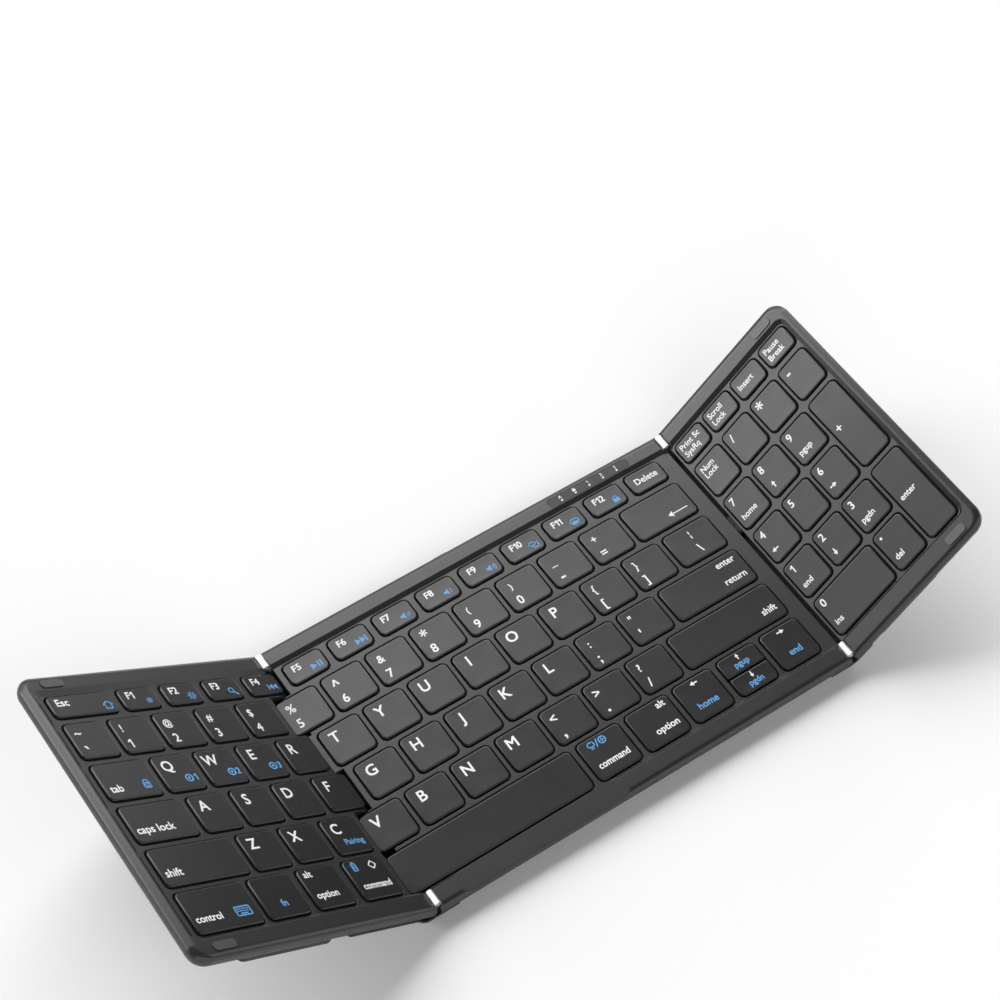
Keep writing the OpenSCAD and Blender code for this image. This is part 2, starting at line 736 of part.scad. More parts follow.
// Scissor links: two crossed frames under each key, and a rubber dome in their middle
link_len = 11;
link_bar = 0.5;
link_tilt = 6.5;
link_gap = 0.1;
space_z = membrane_z + membrane_t;
space_h = -key_drop - cap_top - space_z;
mid_z = space_z + space_h / 2;
long_key = 30;
function link_d(k) = min(link_len, k[3] - k[2] - 2 * cap_skirt - 0.4);
function dome_r(k) = min(3, link_d(k) / 2 - 2 * link_bar - 2 * link_gap);
function link_places(k) = let (x = (k[0] + k[1]) / 2, w = k[1] - k[0])
    w > long_key ? [x - w / 4, x + w / 4] : [x];
module link_frame(d) {
    difference() {
        cube([link_len, d, link_bar], center = true);
        cube([link_len - 2 * link_bar, d - 2 * link_bar, 1], center = true);
    }
}
module scissors(keys) {
    color(link_col)
        for (k = keys, x = link_places(k))
            translate([x, (k[2] + k[3]) / 2, mid_z]) {
                rotate([0, link_tilt, 0])
                    link_frame(link_d(k));
                rotate([0, -link_tilt, 0])
                    link_frame(link_d(k) - 2 * link_bar - 2 * link_gap);
            }
}
module domes(keys) {
    lift = 0.05;
    color(dome_col)
        for (k = keys)
            translate([(k[0] + k[1]) / 2, (k[2] + k[3]) / 2, space_z])
                cylinder(r1 = dome_r(k), r2 = dome_r(k) * 0.6, h = space_h - lift, $fn = 24);
}

// Flat sheets under the keys: they fill the case hollow around the key rows
sheet_out = 0.4;
sheet_in = 0.2;
module sheet_area(x0, x1) {
    translate([x0, front_y - sheet_out])
        square([x1 - x0, fn_y + fn_d - front_y + 2 * sheet_out]);
}
module left_sheet(z0, z1) {
    intersection() {
        prism(z0, z1)
            sheet_area(block_left - sheet_out, far);
        prism(z0 - 1, z1 + 1)
            left_of(wing_case, fold_wall + sheet_in);
    }
}
module centre_sheet(z0, z1) {
    intersection() {
        prism(z0, z1)
            sheet_area(-far, half_span - rim_fold - fold_wall - sheet_in);
        prism(z0 - 1, z1 + 1)
            translate([-half_span, 0])
                right_of(mid_case, fold_wall + sheet_in);
    }
}
module right_sheet(z0, z1) {
    prism(z0, z1)
        sheet_area(rim_fold + fold_wall + sheet_in, pad_right + sheet_out);
}

// ---------------------------------------------------------------- feet and bumpers
foot_r = 2.5;
foot_out = 1.85;
foot_w = 5.9;
// From the outer side or a hinge axis to the ends of the wings' feet
left_foot_start = 21.7;
left_foot_end = 42.8;
right_foot_start = 9.8;
right_foot_end = 26.3;
left_foot_x = [left_foot_start - left_len, -left_foot_end];
right_foot_x = [right_foot_start, right_len - right_foot_end];
centre_foot_in = 30;
centre_foot_len = 34;
centre_foot_edge = 14;
centre_foot_y = half_d - centre_foot_edge;
// Feet along the front and rear of a wing, shaped to the case's rounding above them
module wing_feet(xs) {
    color(rubber_col)
        difference() {
            both_rims()
                prism(-rest_z, case_top - under_h / 2)
                    round_rect(xs[0], xs[1], half_d - foot_out - foot_w, half_d - foot_out, foot_r);
            slab(case_section, -far, far, false);
        }
}
module centre_foot_set() {
    color(rubber_col)
        both_rims()
            for (m = [0, 1])
                mirror([m, 0, 0])
                    prism(-rest_z, -panel_t)
                        round_rect(centre_foot_in, centre_foot_in + centre_foot_len,
                            centre_foot_y - foot_w / 2, centre_foot_y + foot_w / 2, foot_r);
}
bumper_y = half_d - 4.15;
left_bumper_out = 12.75;
right_bumper_out = 11.5;
left_bumper_x = left_bumper_out - left_len;
right_bumper_x = right_len - right_bumper_out;
bumper_r = 1.2;
module bumpers(x) {
    color(rubber_col)
        both_rims()
            prism(0, bumper_h)
                round_rect(x - bumper_l / 2, x + bumper_l / 2, bumper_y - bumper_w / 2,
                    bumper_y + bumper_w / 2, bumper_r);
}

// ---------------------------------------------------------------- middle panel's own pieces
window_x = half_span - 33.95;
window_y = half_d - 4.3;
window_t = 0.6;
window_gap = 0.05;
light_y = window_y - 1.05;
light_r = 0.5;
function light_x(i) = window_x + (i - (lights - 1) / 2) * light_pitch;
switch_x = -9.4;
switch_w = 5;
switch_z = [-3.8, -2.7];
switch_out = 0.85;
slot_gap = 0.2;
port_x = 12;
port_wall = 0.3;
port_r = port_h / 2 - 0.2;
port_len = 7.2;
port_y1 = half_d - 0.7;
port_sink = 0.3;
tongue_w = 6.6;
tongue_t = 0.7;
tongue_in = 0.5;
board_z = floor_z + board_up;
port_z = board_z - port_sink;
board_left = -25;
board_right = half_span - 13;
board_front = row_y[NUMBERS] - 4.8;
board_in = 3.3;
board_post_r = 1.5;
board_posts_x = [-20, 20, 62];
board_posts_y = [board_front + 3, rear_line - 4];
scoop_x = [-half_span + 10, -8.9];
scoop_ramp = 3;

// Shallow scoop in the front rim below the space bar
module scoop() {
    rotate([90, 0, 0])
        translate([0, 0, -well_front - 1])
            linear_extrude(half_d + well_front + 3)
                polygon([[scoop_x[0] - scoop_ramp * above / deck_drop, above], [scoop_x[0], 0],
                    [scoop_x[0] + scoop_ramp, -deck_drop], [scoop_x[1] - scoop_ramp, -deck_drop],
                    [scoop_x[1], 0], [scoop_x[1] + scoop_ramp * above / deck_drop, above]]);
}
module window_shape(grow) {
    round_rect(window_x - window_l / 2 - grow, window_x + window_l / 2 + grow,
        window_y - window_w / 2 - grow, window_y + window_w / 2 + grow, window_w / 2 - 0.1);
}
module light_pipes(r, z0, z1) {
    for (i = [0:lights - 1])
        translate([light_x(i), light_y, z0])
            cylinder(r = r, h = z1 - z0, $fn = 24);
}
module indicator_window() {
    color(window_col)
        place_centre() {
            prism(-window_t + window_gap, 0)
                window_shape(0);
            light_pipes(light_r, board_z + board_t + window_gap, -window_t / 2);
        }
}
module power_switch() {
    base = 1;
    color(rubber_col)
        place_centre() {
            translate([switch_x - switch_w / 2, half_d - 3, switch_z[0]])
                cube([switch_w, 3 + switch_out, switch_z[1] - switch_z[0]]);
            translate([switch_x - switch_w / 2 - base, half_d - 4, switch_z[0] - slot_gap])
                cube([switch_w + 2 * base, 2, switch_z[1] - switch_z[0] + 2 * slot_gap]);
        }
}
module switch_slot() {
    translate([switch_x - switch_w / 2 - switch_travel - slot_gap, half_d - 4,
        switch_z[0] - slot_gap])
        cube([switch_w + switch_travel + 2 * slot_gap, 6, switch_z[1] - switch_z[0] + 2 * slot_gap]);
}
module port_outline(grow) {
    round_rect(port_x - port_w / 2 - grow, port_x + port_w / 2 + grow, port_z - grow,
        port_z + port_h + grow, port_r + grow);
}
module along_rear(y1, len) {
    translate([0, y1, 0])
        rotate([90, 0, 0])
            linear_extrude(len)
                children();
}
module charging_socket() {
    color(steel_col)
        place_centre() {
            difference() {
                along_rear(port_y1, port_len)
                    port_outline(0);
                along_rear(port_y1 + 1, port_len)
                    port_outline(-port_wall);
            }
            translate([port_x - tongue_w / 2, port_y1 - port_len + tongue_in,
                port_z + (port_h - tongue_t) / 2])
                cube([tongue_w, port_len - 1 - tongue_in, tongue_t]);
        }
}
module main_board() {
    lug_y = half_d - board_in;
    lug_side = 8;
    lug_in = 2;
    color(board_col)
        place_centre()
            difference() {
                prism(board_z, board_z + board_t) {
                    translate([board_left, board_front])
                        square([board_right - board_left, rear_line - board_front]);
                    translate([switch_x - lug_side, rear_line - 1])
                        square([port_x - switch_x + 2 * lug_side, lug_y - rear_line + 1]);
                    translate([window_x - window_l / 2 + lug_in, rear_line - 1])
                        square([window_l - 2 * lug_in, lug_y - rear_line + 1]);
                }
                translate([-centre_post_mid, post_y(NUMBERS), board_z - 1])
                    cylinder(r = plate_post_r + fit, h = board_t + 2, $fn = 24);
                translate([port_x - port_w / 2 - fit, port_y1 - port_len - fit, board_z - 1])
                    cube([port_w + 2 * fit, port_len, board_t + 2]);
            }
}
battery_x = -half_span + 10;
battery_gap = 0.2;
module battery() {
    color(cell_col)
        place_centre()
            prism(floor_z, plate_z - battery_gap)
                round_rect(battery_x, battery_x + battery_l, front_y, front_y + battery_w, 1);
}
// Stand-offs that carry the board
module board_posts() {
    for (x = board_posts_x, y = board_posts_y)
        translate([x, y, floor_z - sunk])
            cylinder(r = board_post_r, h = board_up + sunk, $fn = 24);
}

// ---------------------------------------------------------------- middle panel's shells
mid_reach = 7;
module centre_mask(left_line, inset) {
    intersection() {
        translate([-half_span, 0])
            right_of(left_line, inset);
        translate([-far, -far])
            square([far + half_span - rim_fold - inset, 2 * far]);
    }
}
// Everything left of the left axis and deeper than the bend radius is cut away
module finger_bend() {
    at_left_axis()
        difference() {
            translate([-20, -far, -20])
                cube([20, 2 * far, 20 + membrane_z]);
            translate([0, 0, axis_up])
                bar_y(finger_r, 0, 3 * far);
        }
}
module centre_bottom_case() {
    color(frame_col)
        place_centre()
            difference() {
                intersection() {
                    slab(case_section, -half_span - mid_reach, half_span, false);
                    prism(-panel_t - 1, 1)
                        centre_mask(mid_case, 0);
                }
                difference() {
                    intersection() {
                        slab(hollow_section, -half_span - mid_reach, half_span, false);
                        prism(-panel_t - 1, 3)
                            centre_mask(mid_case, fold_wall);
                    }
                    screw_posts(centre_screws_x);
                    plate_posts(centre_posts_x);
                    board_posts();
                }
                sink_room(centre_openings);
                screw_bores(centre_screws_x);
                finger_bend();
                at_left_axis() {
                    leaf_room();
                    ribbon_window();
                }
                at_right_axis() {
                    leaf_room();
                    ribbon_window();
                }
                switch_slot();
                along_rear(half_d + 1, port_len)
                    port_outline(fit);
            }
}
module centre_top_frame() {
    color(frame_col)
        place_centre()
            difference() {
                intersection() {
                    slab(rim_section, -half_span - mid_reach, half_span, false);
                    prism(-rim_h - 1, 1)
                        centre_mask(mid_deck, 0);
                }
                well(-half_span - mid_reach, half_span);
                scoop();
                key_openings(centre_openings);
                at_left_axis()
                    hinge_notches();
                at_right_axis()
                    hinge_notches();
                at_screws(centre_screws_x)
                    pilot();
                prism(-window_t, 1)
                    window_shape(window_gap);
                light_pipes(light_r + window_gap, -rim_h - 1, 0);
            }
}
module centre_support_plate() {
    color(plate_col)
        place_centre()
            centre_sheet(plate_z, membrane_z);
}
module centre_membrane() {
    color(film_col)
        place_centre()
            centre_sheet(membrane_z, space_z);
}
module centre_domes() {
    place_centre()
        domes(all_centre);
}
module centre_scissors() {
    place_centre()
        scissors(all_centre);
}
module centre_feet() {
    place_centre()
        centre_foot_set();
}
module centre_screws() {
    color(steel_col)
        place_centre() {
            at_screws(centre_screws_x)
                screw(head_z, head_h);
            at_left_axis()
                leaf_screws();
            at_right_axis()
                leaf_screws();
        }
}
module centre_hinge_leaves() {
    color(steel_col)
        place_centre() {
            at_left_axis()
                leaves(1, pin_r + pin_clear);
            at_right_axis()
                leaves(1, pin_r + pin_clear);
        }
}

// ---------------------------------------------------------------- left wing
// Its slabs are drawn on the side x > 0 and mirrored, because the wing lies on the side x < 0
wing_reach = 3;
module left_bottom_case() {
    color(frame_col)
        place_left()
            difference() {
                intersection() {
                    mirror_x()
                        slab(case_section, -wing_reach, left_len, true);
                    prism(-panel_t - 1, 1)
                        left_of(wing_case, 0);
                }
                difference() {
                    intersection() {
                        mirror_x()
                            slab(hollow_section, -wing_reach, left_len, true);
                        prism(-panel_t - 1, 3)
                            left_of(wing_case, fold_wall);
                    }
                    screw_posts(left_screws_x);
                    plate_posts(left_posts_x);
                }
                sink_room(all_left);
                screw_bores(left_screws_x);
                mirror_x()
                    leaf_room();
                fold_round(1);
                ribbon_window();
            }
}
module left_top_frame() {
    color(frame_col)
        place_left()
            difference() {
                intersection() {
                    mirror_x()
                        slab(rim_section, -wing_reach, left_len, true);
                    prism(-rim_h - 1, 1)
                        left_of(wing_deck, 0);
                }
                mirror_x() {
                    round_well(-wing_reach, left_len);
                    hinge_notches();
                }
                key_openings(all_left);
                at_screws(left_screws_x)
                    pilot();
            }
}
module left_support_plate() {
    color(plate_col)
        place_left()
            left_sheet(plate_z, membrane_z);
}
module left_membrane() {
    color(film_col)
        place_left()
            left_sheet(membrane_z, space_z);
}
module left_domes() {
    place_left()
        domes(all_left);
}
module left_scissors() {
    place_left()
        scissors(all_left);
}
module left_feet() {
    place_left()
        wing_feet(left_foot_x);
}
module left_screws() {
    color(steel_col)
        place_left() {
            at_screws(left_screws_x)
                screw(head_z, head_h);
            mirror_x()
                leaf_screws();
        }
}
module left_hinge_leaves() {
    color(steel_col)
        place_left()
            mirror_x()
                leaves(-1, pin_r);
}
module left_hinge_pins() {
    color(steel_col)
        place_left()
            pins();
}
module left_bumpers() {
    place_left()
        bumpers(left_bumper_x);
}
module left_spine_cover() {
    place_centre()
        translate([-half_span, 0, axis_up])
            cover(left_bend(left_open));
}
module left_ribbon() {
    place_centre()
        translate([-half_span, 0, axis_up])
            ribbon(left_open);
}

// ---------------------------------------------------------------- right wing
module right_bottom_case() {
    color(frame_col)
        place_right()
            difference() {
                slab(case_section, rim_fold, right_len, true);
                difference() {
                    slab(hollow_section, rim_fold + fold_wall, right_len, true);
                    screw_posts(right_screws_x);
                    plate_posts(right_posts_x);
                }
                sink_room(all_right);
                screw_bores(right_screws_x);
                leaf_room();
                fold_round(-1);
                ribbon_window();
            }
}
module right_top_frame() {
    color(frame_col)
        place_right()
            difference() {
                slab(rim_section, rim_fold, right_len, true);
                round_well(rim_fold, right_len);
                hinge_notches();
                key_openings(all_right);
                at_screws(right_screws_x)
                    pilot();
            }
}
module right_support_plate() {
    color(plate_col)
        place_right()
            right_sheet(plate_z, membrane_z);
}
module right_membrane() {
    color(film_col)
        place_right()
            right_sheet(membrane_z, space_z);
}
module right_domes() {
    place_right()
        domes(all_right);
}
module right_scissors() {
    place_right()
        scissors(all_right);
}
module right_feet() {
    place_right()
        wing_feet(right_foot_x);
}
module right_screws() {
    color(steel_col)
        place_right() {
            at_screws(right_screws_x)
                screw(head_z, head_h);
            leaf_screws();
        }
}
module right_hinge_leaves() {
    color(steel_col)
        place_right()
            leaves(-1, pin_r);
}
module right_hinge_pins() {
    color(steel_col)
        place_right()
            pins();
}
module right_bumpers() {
    place_right()
        bumpers(right_bumper_x);
}
module right_spine_cover() {
    place_centre()
        translate([half_span, 0, axis_up])
            mirror_x()
                cover(right_bend(right_open));
}
module right_ribbon() {
    place_centre()
        translate([half_span, 0, axis_up])
            mirror_x()
                ribbon(right_open);
}

// ---------------------------------------------------------------- key caps, row by row
module left_function_keys() { place_left() caps(left_row(FN)); }
module left_number_keys() { place_left() caps(left_row(NUMBERS)); }
module left_upper_keys() { place_left() caps(left_row(UPPER)); }
module left_middle_keys() { place_left() caps(left_row(MIDDLE)); }
module left_lower_keys() { place_left() caps(left_row(LOWER)); }
module left_front_keys() { place_left() caps(left_row(FRONT)); }
module centre_function_keys() { place_centre() caps(centre_row(FN)); }
module centre_number_keys() { place_centre() caps(centre_row(NUMBERS)); }
module centre_upper_keys() { place_centre() caps(centre_row(UPPER)); }
module centre_middle_keys() { place_centre() caps(centre_row(MIDDLE)); }
module centre_lower_keys() { place_centre() caps(centre_row(LOWER)); }
module centre_front_keys() { place_centre() caps(centre_row(FRONT)); }
module space_bar() { place_centre() caps([space_key]); }
module enter_key() { place_centre() caps([enter_place]); }
module pad_function_keys() { place_right() caps(pad_row(FN)); }
module pad_number_keys() { place_right() caps(pad_row(NUMBERS)); }
module pad_upper_keys() { place_right() caps(pad_row(UPPER)); }
module pad_middle_keys() { place_right() caps(pad_row(MIDDLE)); }
module pad_lower_keys() { place_right() caps(pad_row(LOWER)); }
module pad_front_keys() { place_right() caps(pad_row(FRONT)); }

centre_bottom_case();
centre_top_frame();
centre_support_plate();
centre_membrane();
centre_domes();
centre_scissors();
centre_feet();
centre_screws();
centre_hinge_leaves();
main_board();
battery();
charging_socket();
power_switch();
indicator_window();
left_bottom_case();
left_top_frame();
left_support_plate();
left_membrane();
left_domes();
left_scissors();
left_feet();
left_screws();
left_hinge_leaves();
left_hinge_pins();
left_bumpers();
left_spine_cover();
left_ribbon();
right_bottom_case();
right_top_frame();
right_support_plate();
right_membrane();
right_domes();
right_scissors();
right_feet();
right_screws();
right_hinge_leaves();
right_hinge_pins();
right_bumpers();
right_spine_cover();
right_ribbon();
left_function_keys();
left_number_keys();
left_upper_keys();
left_middle_keys();
left_lower_keys();
left_front_keys();
centre_function_keys();
centre_number_keys();
centre_upper_keys();
centre_middle_keys();
centre_lower_keys();
centre_front_keys();
space_bar();
enter_key();
pad_function_keys();
pad_number_keys();
pad_upper_keys();
pad_middle_keys();
pad_lower_keys();
pad_front_keys();
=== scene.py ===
"""Folding keyboard of three panels, dressed over the CAD model."""

import json
import math

import bmesh
import bpy
from mathutils import Matrix, Vector


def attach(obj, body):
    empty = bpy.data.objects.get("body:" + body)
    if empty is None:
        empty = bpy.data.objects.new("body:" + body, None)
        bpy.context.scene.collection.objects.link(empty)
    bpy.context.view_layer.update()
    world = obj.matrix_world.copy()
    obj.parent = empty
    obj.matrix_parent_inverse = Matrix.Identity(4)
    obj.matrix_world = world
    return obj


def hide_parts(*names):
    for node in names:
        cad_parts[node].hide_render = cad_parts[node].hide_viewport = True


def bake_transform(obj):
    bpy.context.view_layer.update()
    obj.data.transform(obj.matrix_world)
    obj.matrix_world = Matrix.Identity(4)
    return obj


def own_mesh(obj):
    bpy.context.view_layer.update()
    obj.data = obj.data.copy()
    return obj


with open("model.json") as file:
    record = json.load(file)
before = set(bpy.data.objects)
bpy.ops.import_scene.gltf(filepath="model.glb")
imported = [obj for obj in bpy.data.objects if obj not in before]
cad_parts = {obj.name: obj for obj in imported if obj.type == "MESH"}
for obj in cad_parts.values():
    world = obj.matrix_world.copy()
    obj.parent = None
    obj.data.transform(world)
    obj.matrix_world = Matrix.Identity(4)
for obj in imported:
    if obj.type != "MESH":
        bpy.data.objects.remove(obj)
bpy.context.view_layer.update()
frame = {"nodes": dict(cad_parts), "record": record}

MM = 0.001

# ------------------------------------------------------------------ sizes, in millimetres
# Each panel has its own coordinates: z = 0 at the rim's top, y towards the rear. On the wings
# x = 0 is the hinge axis; on the middle panel it is halfway between the two axes.
SHIFT_X = 16.954  # the middle panel's centre in the row frame
REST_Z = 8.2  # the rim's top above the table
AXIS_UP = 0.3  # a hinge axis above the rim's top
HALF_SPAN = 87.5  # from the middle panel's centre to a hinge axis
LEFT_OPEN = 35.9  # how far each wing is raised, in degrees
RIGHT_OPEN = 42.65
HALF_DEPTH = 59.75
PANEL_T = 7.0

KEY_TOP = -0.1  # z of the caps' tops
CAP_H = 1.9
CAP_EDGE = 0.42  # the rounding of a cap's upper edge
CAP_WALL = 0.25  # the least height of a cap's side under that rounding
CAP_SKIRT = 0.9
CAP_ROOF = 0.9
CAP_FLAT = 0.1  # a level ring inside the rounding
CAP_DISH = 0.02
DISH_REACH = 0.88  # how much of the way to the middle the dish's rings go
EDGE_SHOWN = 0.03  # how far down the edge the top's colour reaches; below that the caps' sides carry near-black painted shade
SHADED_KEY_WIDTH = 19.0  # caps wider than this get a darker top: painted shade
KEY_R = 1.8
LEAST_R = 0.02
TOP_RING_R = 0.25  # corners of the rings on a cap's top

PRINT_T = 0.012  # print above the caps' tops
STRIKE = 0.001  # between two strikes of one word

FN, NUMBERS, UPPER, MIDDLE, LOWER, FRONT = range(6)
ROW_FRONT = [41.0, 22.85, 4.85, -13.15, -31.15, -50.3]
ROW_DEPTH = [9.2, 15.15, 15.15, 15.15, 15.15, 16.6]


def turn_about(x, angle):
    """Places a wing: its hinge axis is at x on the row of panels, and it is raised by angle."""
    axis = Matrix.Translation(Vector((x, 0, REST_Z + AXIS_UP)) * MM)
    back = Matrix.Translation(Vector((0, 0, -AXIS_UP)) * MM)
    return axis @ Matrix.Rotation(math.radians(angle), 4, "Y") @ back


PLACE = {
    "middle_panel": Matrix.Translation(Vector((SHIFT_X, 0, REST_Z)) * MM),
    "left_wing": turn_about(SHIFT_X - HALF_SPAN, LEFT_OPEN),
    "right_wing": turn_about(SHIFT_X + HALF_SPAN, -RIGHT_OPEN),
}


def upwards(panel):
    """The direction that a panel's top faces."""
    return PLACE[panel].to_3x3() @ Vector((0, 0, 1))


# ------------------------------------------------------------------ camera
LENS = 88.36
EYE = (-278.2 + SHIFT_X, -367.6, 739.4 + REST_Z)
TO_RIGHT = (0.82871173, -0.55962868, 0.00725351)
TO_BOTTOM = (-0.45181618, -0.67659664, -0.58144572)
AHEAD = (0.3303014, 0.47857363, -0.81355286)


def make_camera():
    """The eye, and the directions that the picture's right, bottom and depth have in the row."""
    cam = bpy.data.cameras.new("camera")
    cam.sensor_width = 36.0
    cam.lens = LENS
    cam.clip_start = 0.01
    ob = bpy.data.objects.new("camera", cam)
    bpy.context.scene.collection.objects.link(ob)
    turn = Matrix((Vector(TO_RIGHT), -Vector(TO_BOTTOM), -Vector(AHEAD))).transposed().to_4x4()
    ob.matrix_world = Matrix.Translation(Vector(EYE) * MM) @ turn
    bpy.context.scene.camera = ob


make_camera()


# ------------------------------------------------------------------ node groups
def group(name, inputs, outputs, kind="ShaderNodeTree"):
    tree = bpy.data.node_groups.new(name, kind)
    for label, sock, value in inputs:
        item = tree.interface.new_socket(label, in_out="INPUT", socket_type=sock)
        if value is not None:
            item.default_value = value
    for label, sock in outputs:
        tree.interface.new_socket(label, in_out="OUTPUT", socket_type=sock)
    return tree, tree.nodes.new("NodeGroupInput"), tree.nodes.new("NodeGroupOutput")


def node(tree, kind, links=None, **props):
    n = tree.nodes.new(kind)
    for key, value in props.items():
        setattr(n, key, value)
    for key, value in (links or {}).items():
        if isinstance(value, bpy.types.NodeSocket):
            tree.links.new(value, n.inputs[key])
        else:
            n.inputs[key].default_value = value
    return n


def math_node(tree, op, a, b=0.0):
    return node(tree, "ShaderNodeMath", {0: a, 1: b}, operation=op).outputs[0]


PATCHES, RUBS = 55.0, 420.0  # noise scales, per metre, of the slow drift and of handling marks
PATCH_WEAR, RUB_WEAR = 0.16, 0.3  # how much each changes the roughness
LINE_WEAR = 0.3
METAL_EDGE = 0.00012
BEVEL_SAMPLES = 6


def fine_grain_group():
    """Moulded texture: tiny bumps, patchy roughness and a slow drift of the colour."""
    tree, gin, gout = group("fine_grain", [
        ("Colour", "NodeSocketColor", (0.05, 0.05, 0.05, 1)),
        ("Roughness", "NodeSocketFloat", 0.5),
        ("Grain Size", "NodeSocketFloat", 0.00025),
        ("Depth", "NodeSocketFloat", 0.00002),
        ("Drift", "NodeSocketFloat", 0.06),
        ("Edge Radius", "NodeSocketFloat", 0.0002),
    ], [("Colour", "NodeSocketColor"), ("Roughness", "NodeSocketFloat"),
        ("Normal", "NodeSocketVector")])
    coord = node(tree, "ShaderNodeTexCoord").outputs["Object"]
    fine = math_node(tree, "DIVIDE", 1.0, gin.outputs["Grain Size"])
    grain = node(tree, "ShaderNodeTexNoise", {"Vector": coord, "Scale": fine, "Detail": 2.0})
    cells = node(tree, "ShaderNodeTexVoronoi", {"Vector": coord, "Scale": fine})
    height = math_node(tree, "ADD", grain.outputs[0], cells.outputs["Distance"])
    patch = node(tree, "ShaderNodeTexNoise", {"Vector": coord, "Scale": PATCHES, "Detail": 4.0})
    rub = node(tree, "ShaderNodeTexNoise", {"Vector": coord, "Scale": RUBS, "Detail": 3.0})
    slow = math_node(tree, "SUBTRACT", patch.outputs[0], 0.5)
    light = math_node(tree, "MULTIPLY_ADD", slow, gin.outputs["Drift"])
    light.node.inputs[2].default_value = 1.0
    hsv = node(tree, "ShaderNodeHueSaturation", {"Color": gin.outputs["Colour"], "Value": light})
    fast = math_node(tree, "SUBTRACT", rub.outputs[0], 0.5)
    wear = math_node(tree, "ADD", math_node(tree, "MULTIPLY", fast, RUB_WEAR),
                     math_node(tree, "MULTIPLY", slow, PATCH_WEAR))
    rough = math_node(tree, "MULTIPLY", gin.outputs["Roughness"],
                      math_node(tree, "ADD", wear, 1.0))
    soft = node(tree, "ShaderNodeBevel", {"Radius": gin.outputs["Edge Radius"]},
                samples=BEVEL_SAMPLES)
    bump = node(tree, "ShaderNodeBump", {
        "Strength": 1.0, "Distance": gin.outputs["Depth"], "Height": height,
        "Normal": soft.outputs[0]})
    tree.links.new(hsv.outputs[0], gout.inputs["Colour"])
    tree.links.new(rough, gout.inputs["Roughness"])
    tree.links.new(bump.outputs[0], gout.inputs["Normal"])
    return tree


def brushed_group():
    """Fine lines along one direction, for turned and rolled metal."""
    tree, gin, gout = group("brushed_lines", [
        ("Along", "NodeSocketVector", (1.0, 40.0, 1.0)),
        ("Scale", "NodeSocketFloat", 900.0),
        ("Depth", "NodeSocketFloat", 0.000004),
        ("Roughness", "NodeSocketFloat", 0.25),
    ], [("Roughness", "NodeSocketFloat"), ("Normal", "NodeSocketVector")])
    coord = node(tree, "ShaderNodeTexCoord").outputs["Object"]
    across = node(tree, "ShaderNodeVectorMath", {0: coord, 1: gin.outputs["Along"]},
                  operation="MULTIPLY")
    lines = node(tree, "ShaderNodeTexNoise", {
        "Vector": across.outputs[0], "Scale": gin.outputs["Scale"], "Detail": 3.0})
    spread = math_node(tree, "MULTIPLY", math_node(tree, "SUBTRACT", lines.outputs[0], 0.5),
                       LINE_WEAR)
    rough = math_node(tree, "ADD", gin.outputs["Roughness"], spread)
    soft = node(tree, "ShaderNodeBevel", {"Radius": METAL_EDGE}, samples=BEVEL_SAMPLES)
    bump = node(tree, "ShaderNodeBump", {
        "Strength": 1.0, "Distance": gin.outputs["Depth"], "Height": lines.outputs[0],
        "Normal": soft.outputs[0]})
    tree.links.new(rough, gout.inputs["Roughness"])
    tree.links.new(bump.outputs[0], gout.inputs["Normal"])
    return tree


FINE_GRAIN = fine_grain_group()
BRUSHED = brushed_group()


# ------------------------------------------------------------------ materials
def material(name, **fixed):
    mat = bpy.data.materials.new(name)
    mat.use_nodes = True
    tree = mat.node_tree
    shader = tree.nodes["Principled BSDF"]
    for socket, value in fixed.items():
        shader.inputs[socket.replace("_", " ")].default_value = value
    return mat, tree, shader


def grained(name, colour, rough, grain=0.00025, depth=0.00002, drift=0.06, edge=0.0002, **fixed):
    mat, tree, shader = material(name, **fixed)
    g = node(tree, "ShaderNodeGroup", node_tree=FINE_GRAIN)
    for label, value in (("Colour", (*colour, 1)), ("Roughness", rough), ("Grain Size", grain),
                         ("Depth", depth), ("Drift", drift), ("Edge Radius", edge)):
        g.inputs[label].default_value = value
    tree.links.new(g.outputs["Colour"], shader.inputs["Base Color"])
    tree.links.new(g.outputs["Roughness"], shader.inputs["Roughness"])
    tree.links.new(g.outputs["Normal"], shader.inputs["Normal"])
    return mat


def brushed(name, colour, rough, along=(1, 40, 1), **fixed):
    mat, tree, shader = material(name, Metallic=1.0, **fixed)
    shader.inputs["Base Color"].default_value = (*colour, 1)
    g = node(tree, "ShaderNodeGroup", node_tree=BRUSHED)
    g.inputs["Along"].default_value = along
    g.inputs["Roughness"].default_value = rough
    tree.links.new(g.outputs["Roughness"], shader.inputs["Roughness"])
    tree.links.new(g.outputs["Normal"], shader.inputs["Normal"])
    return mat


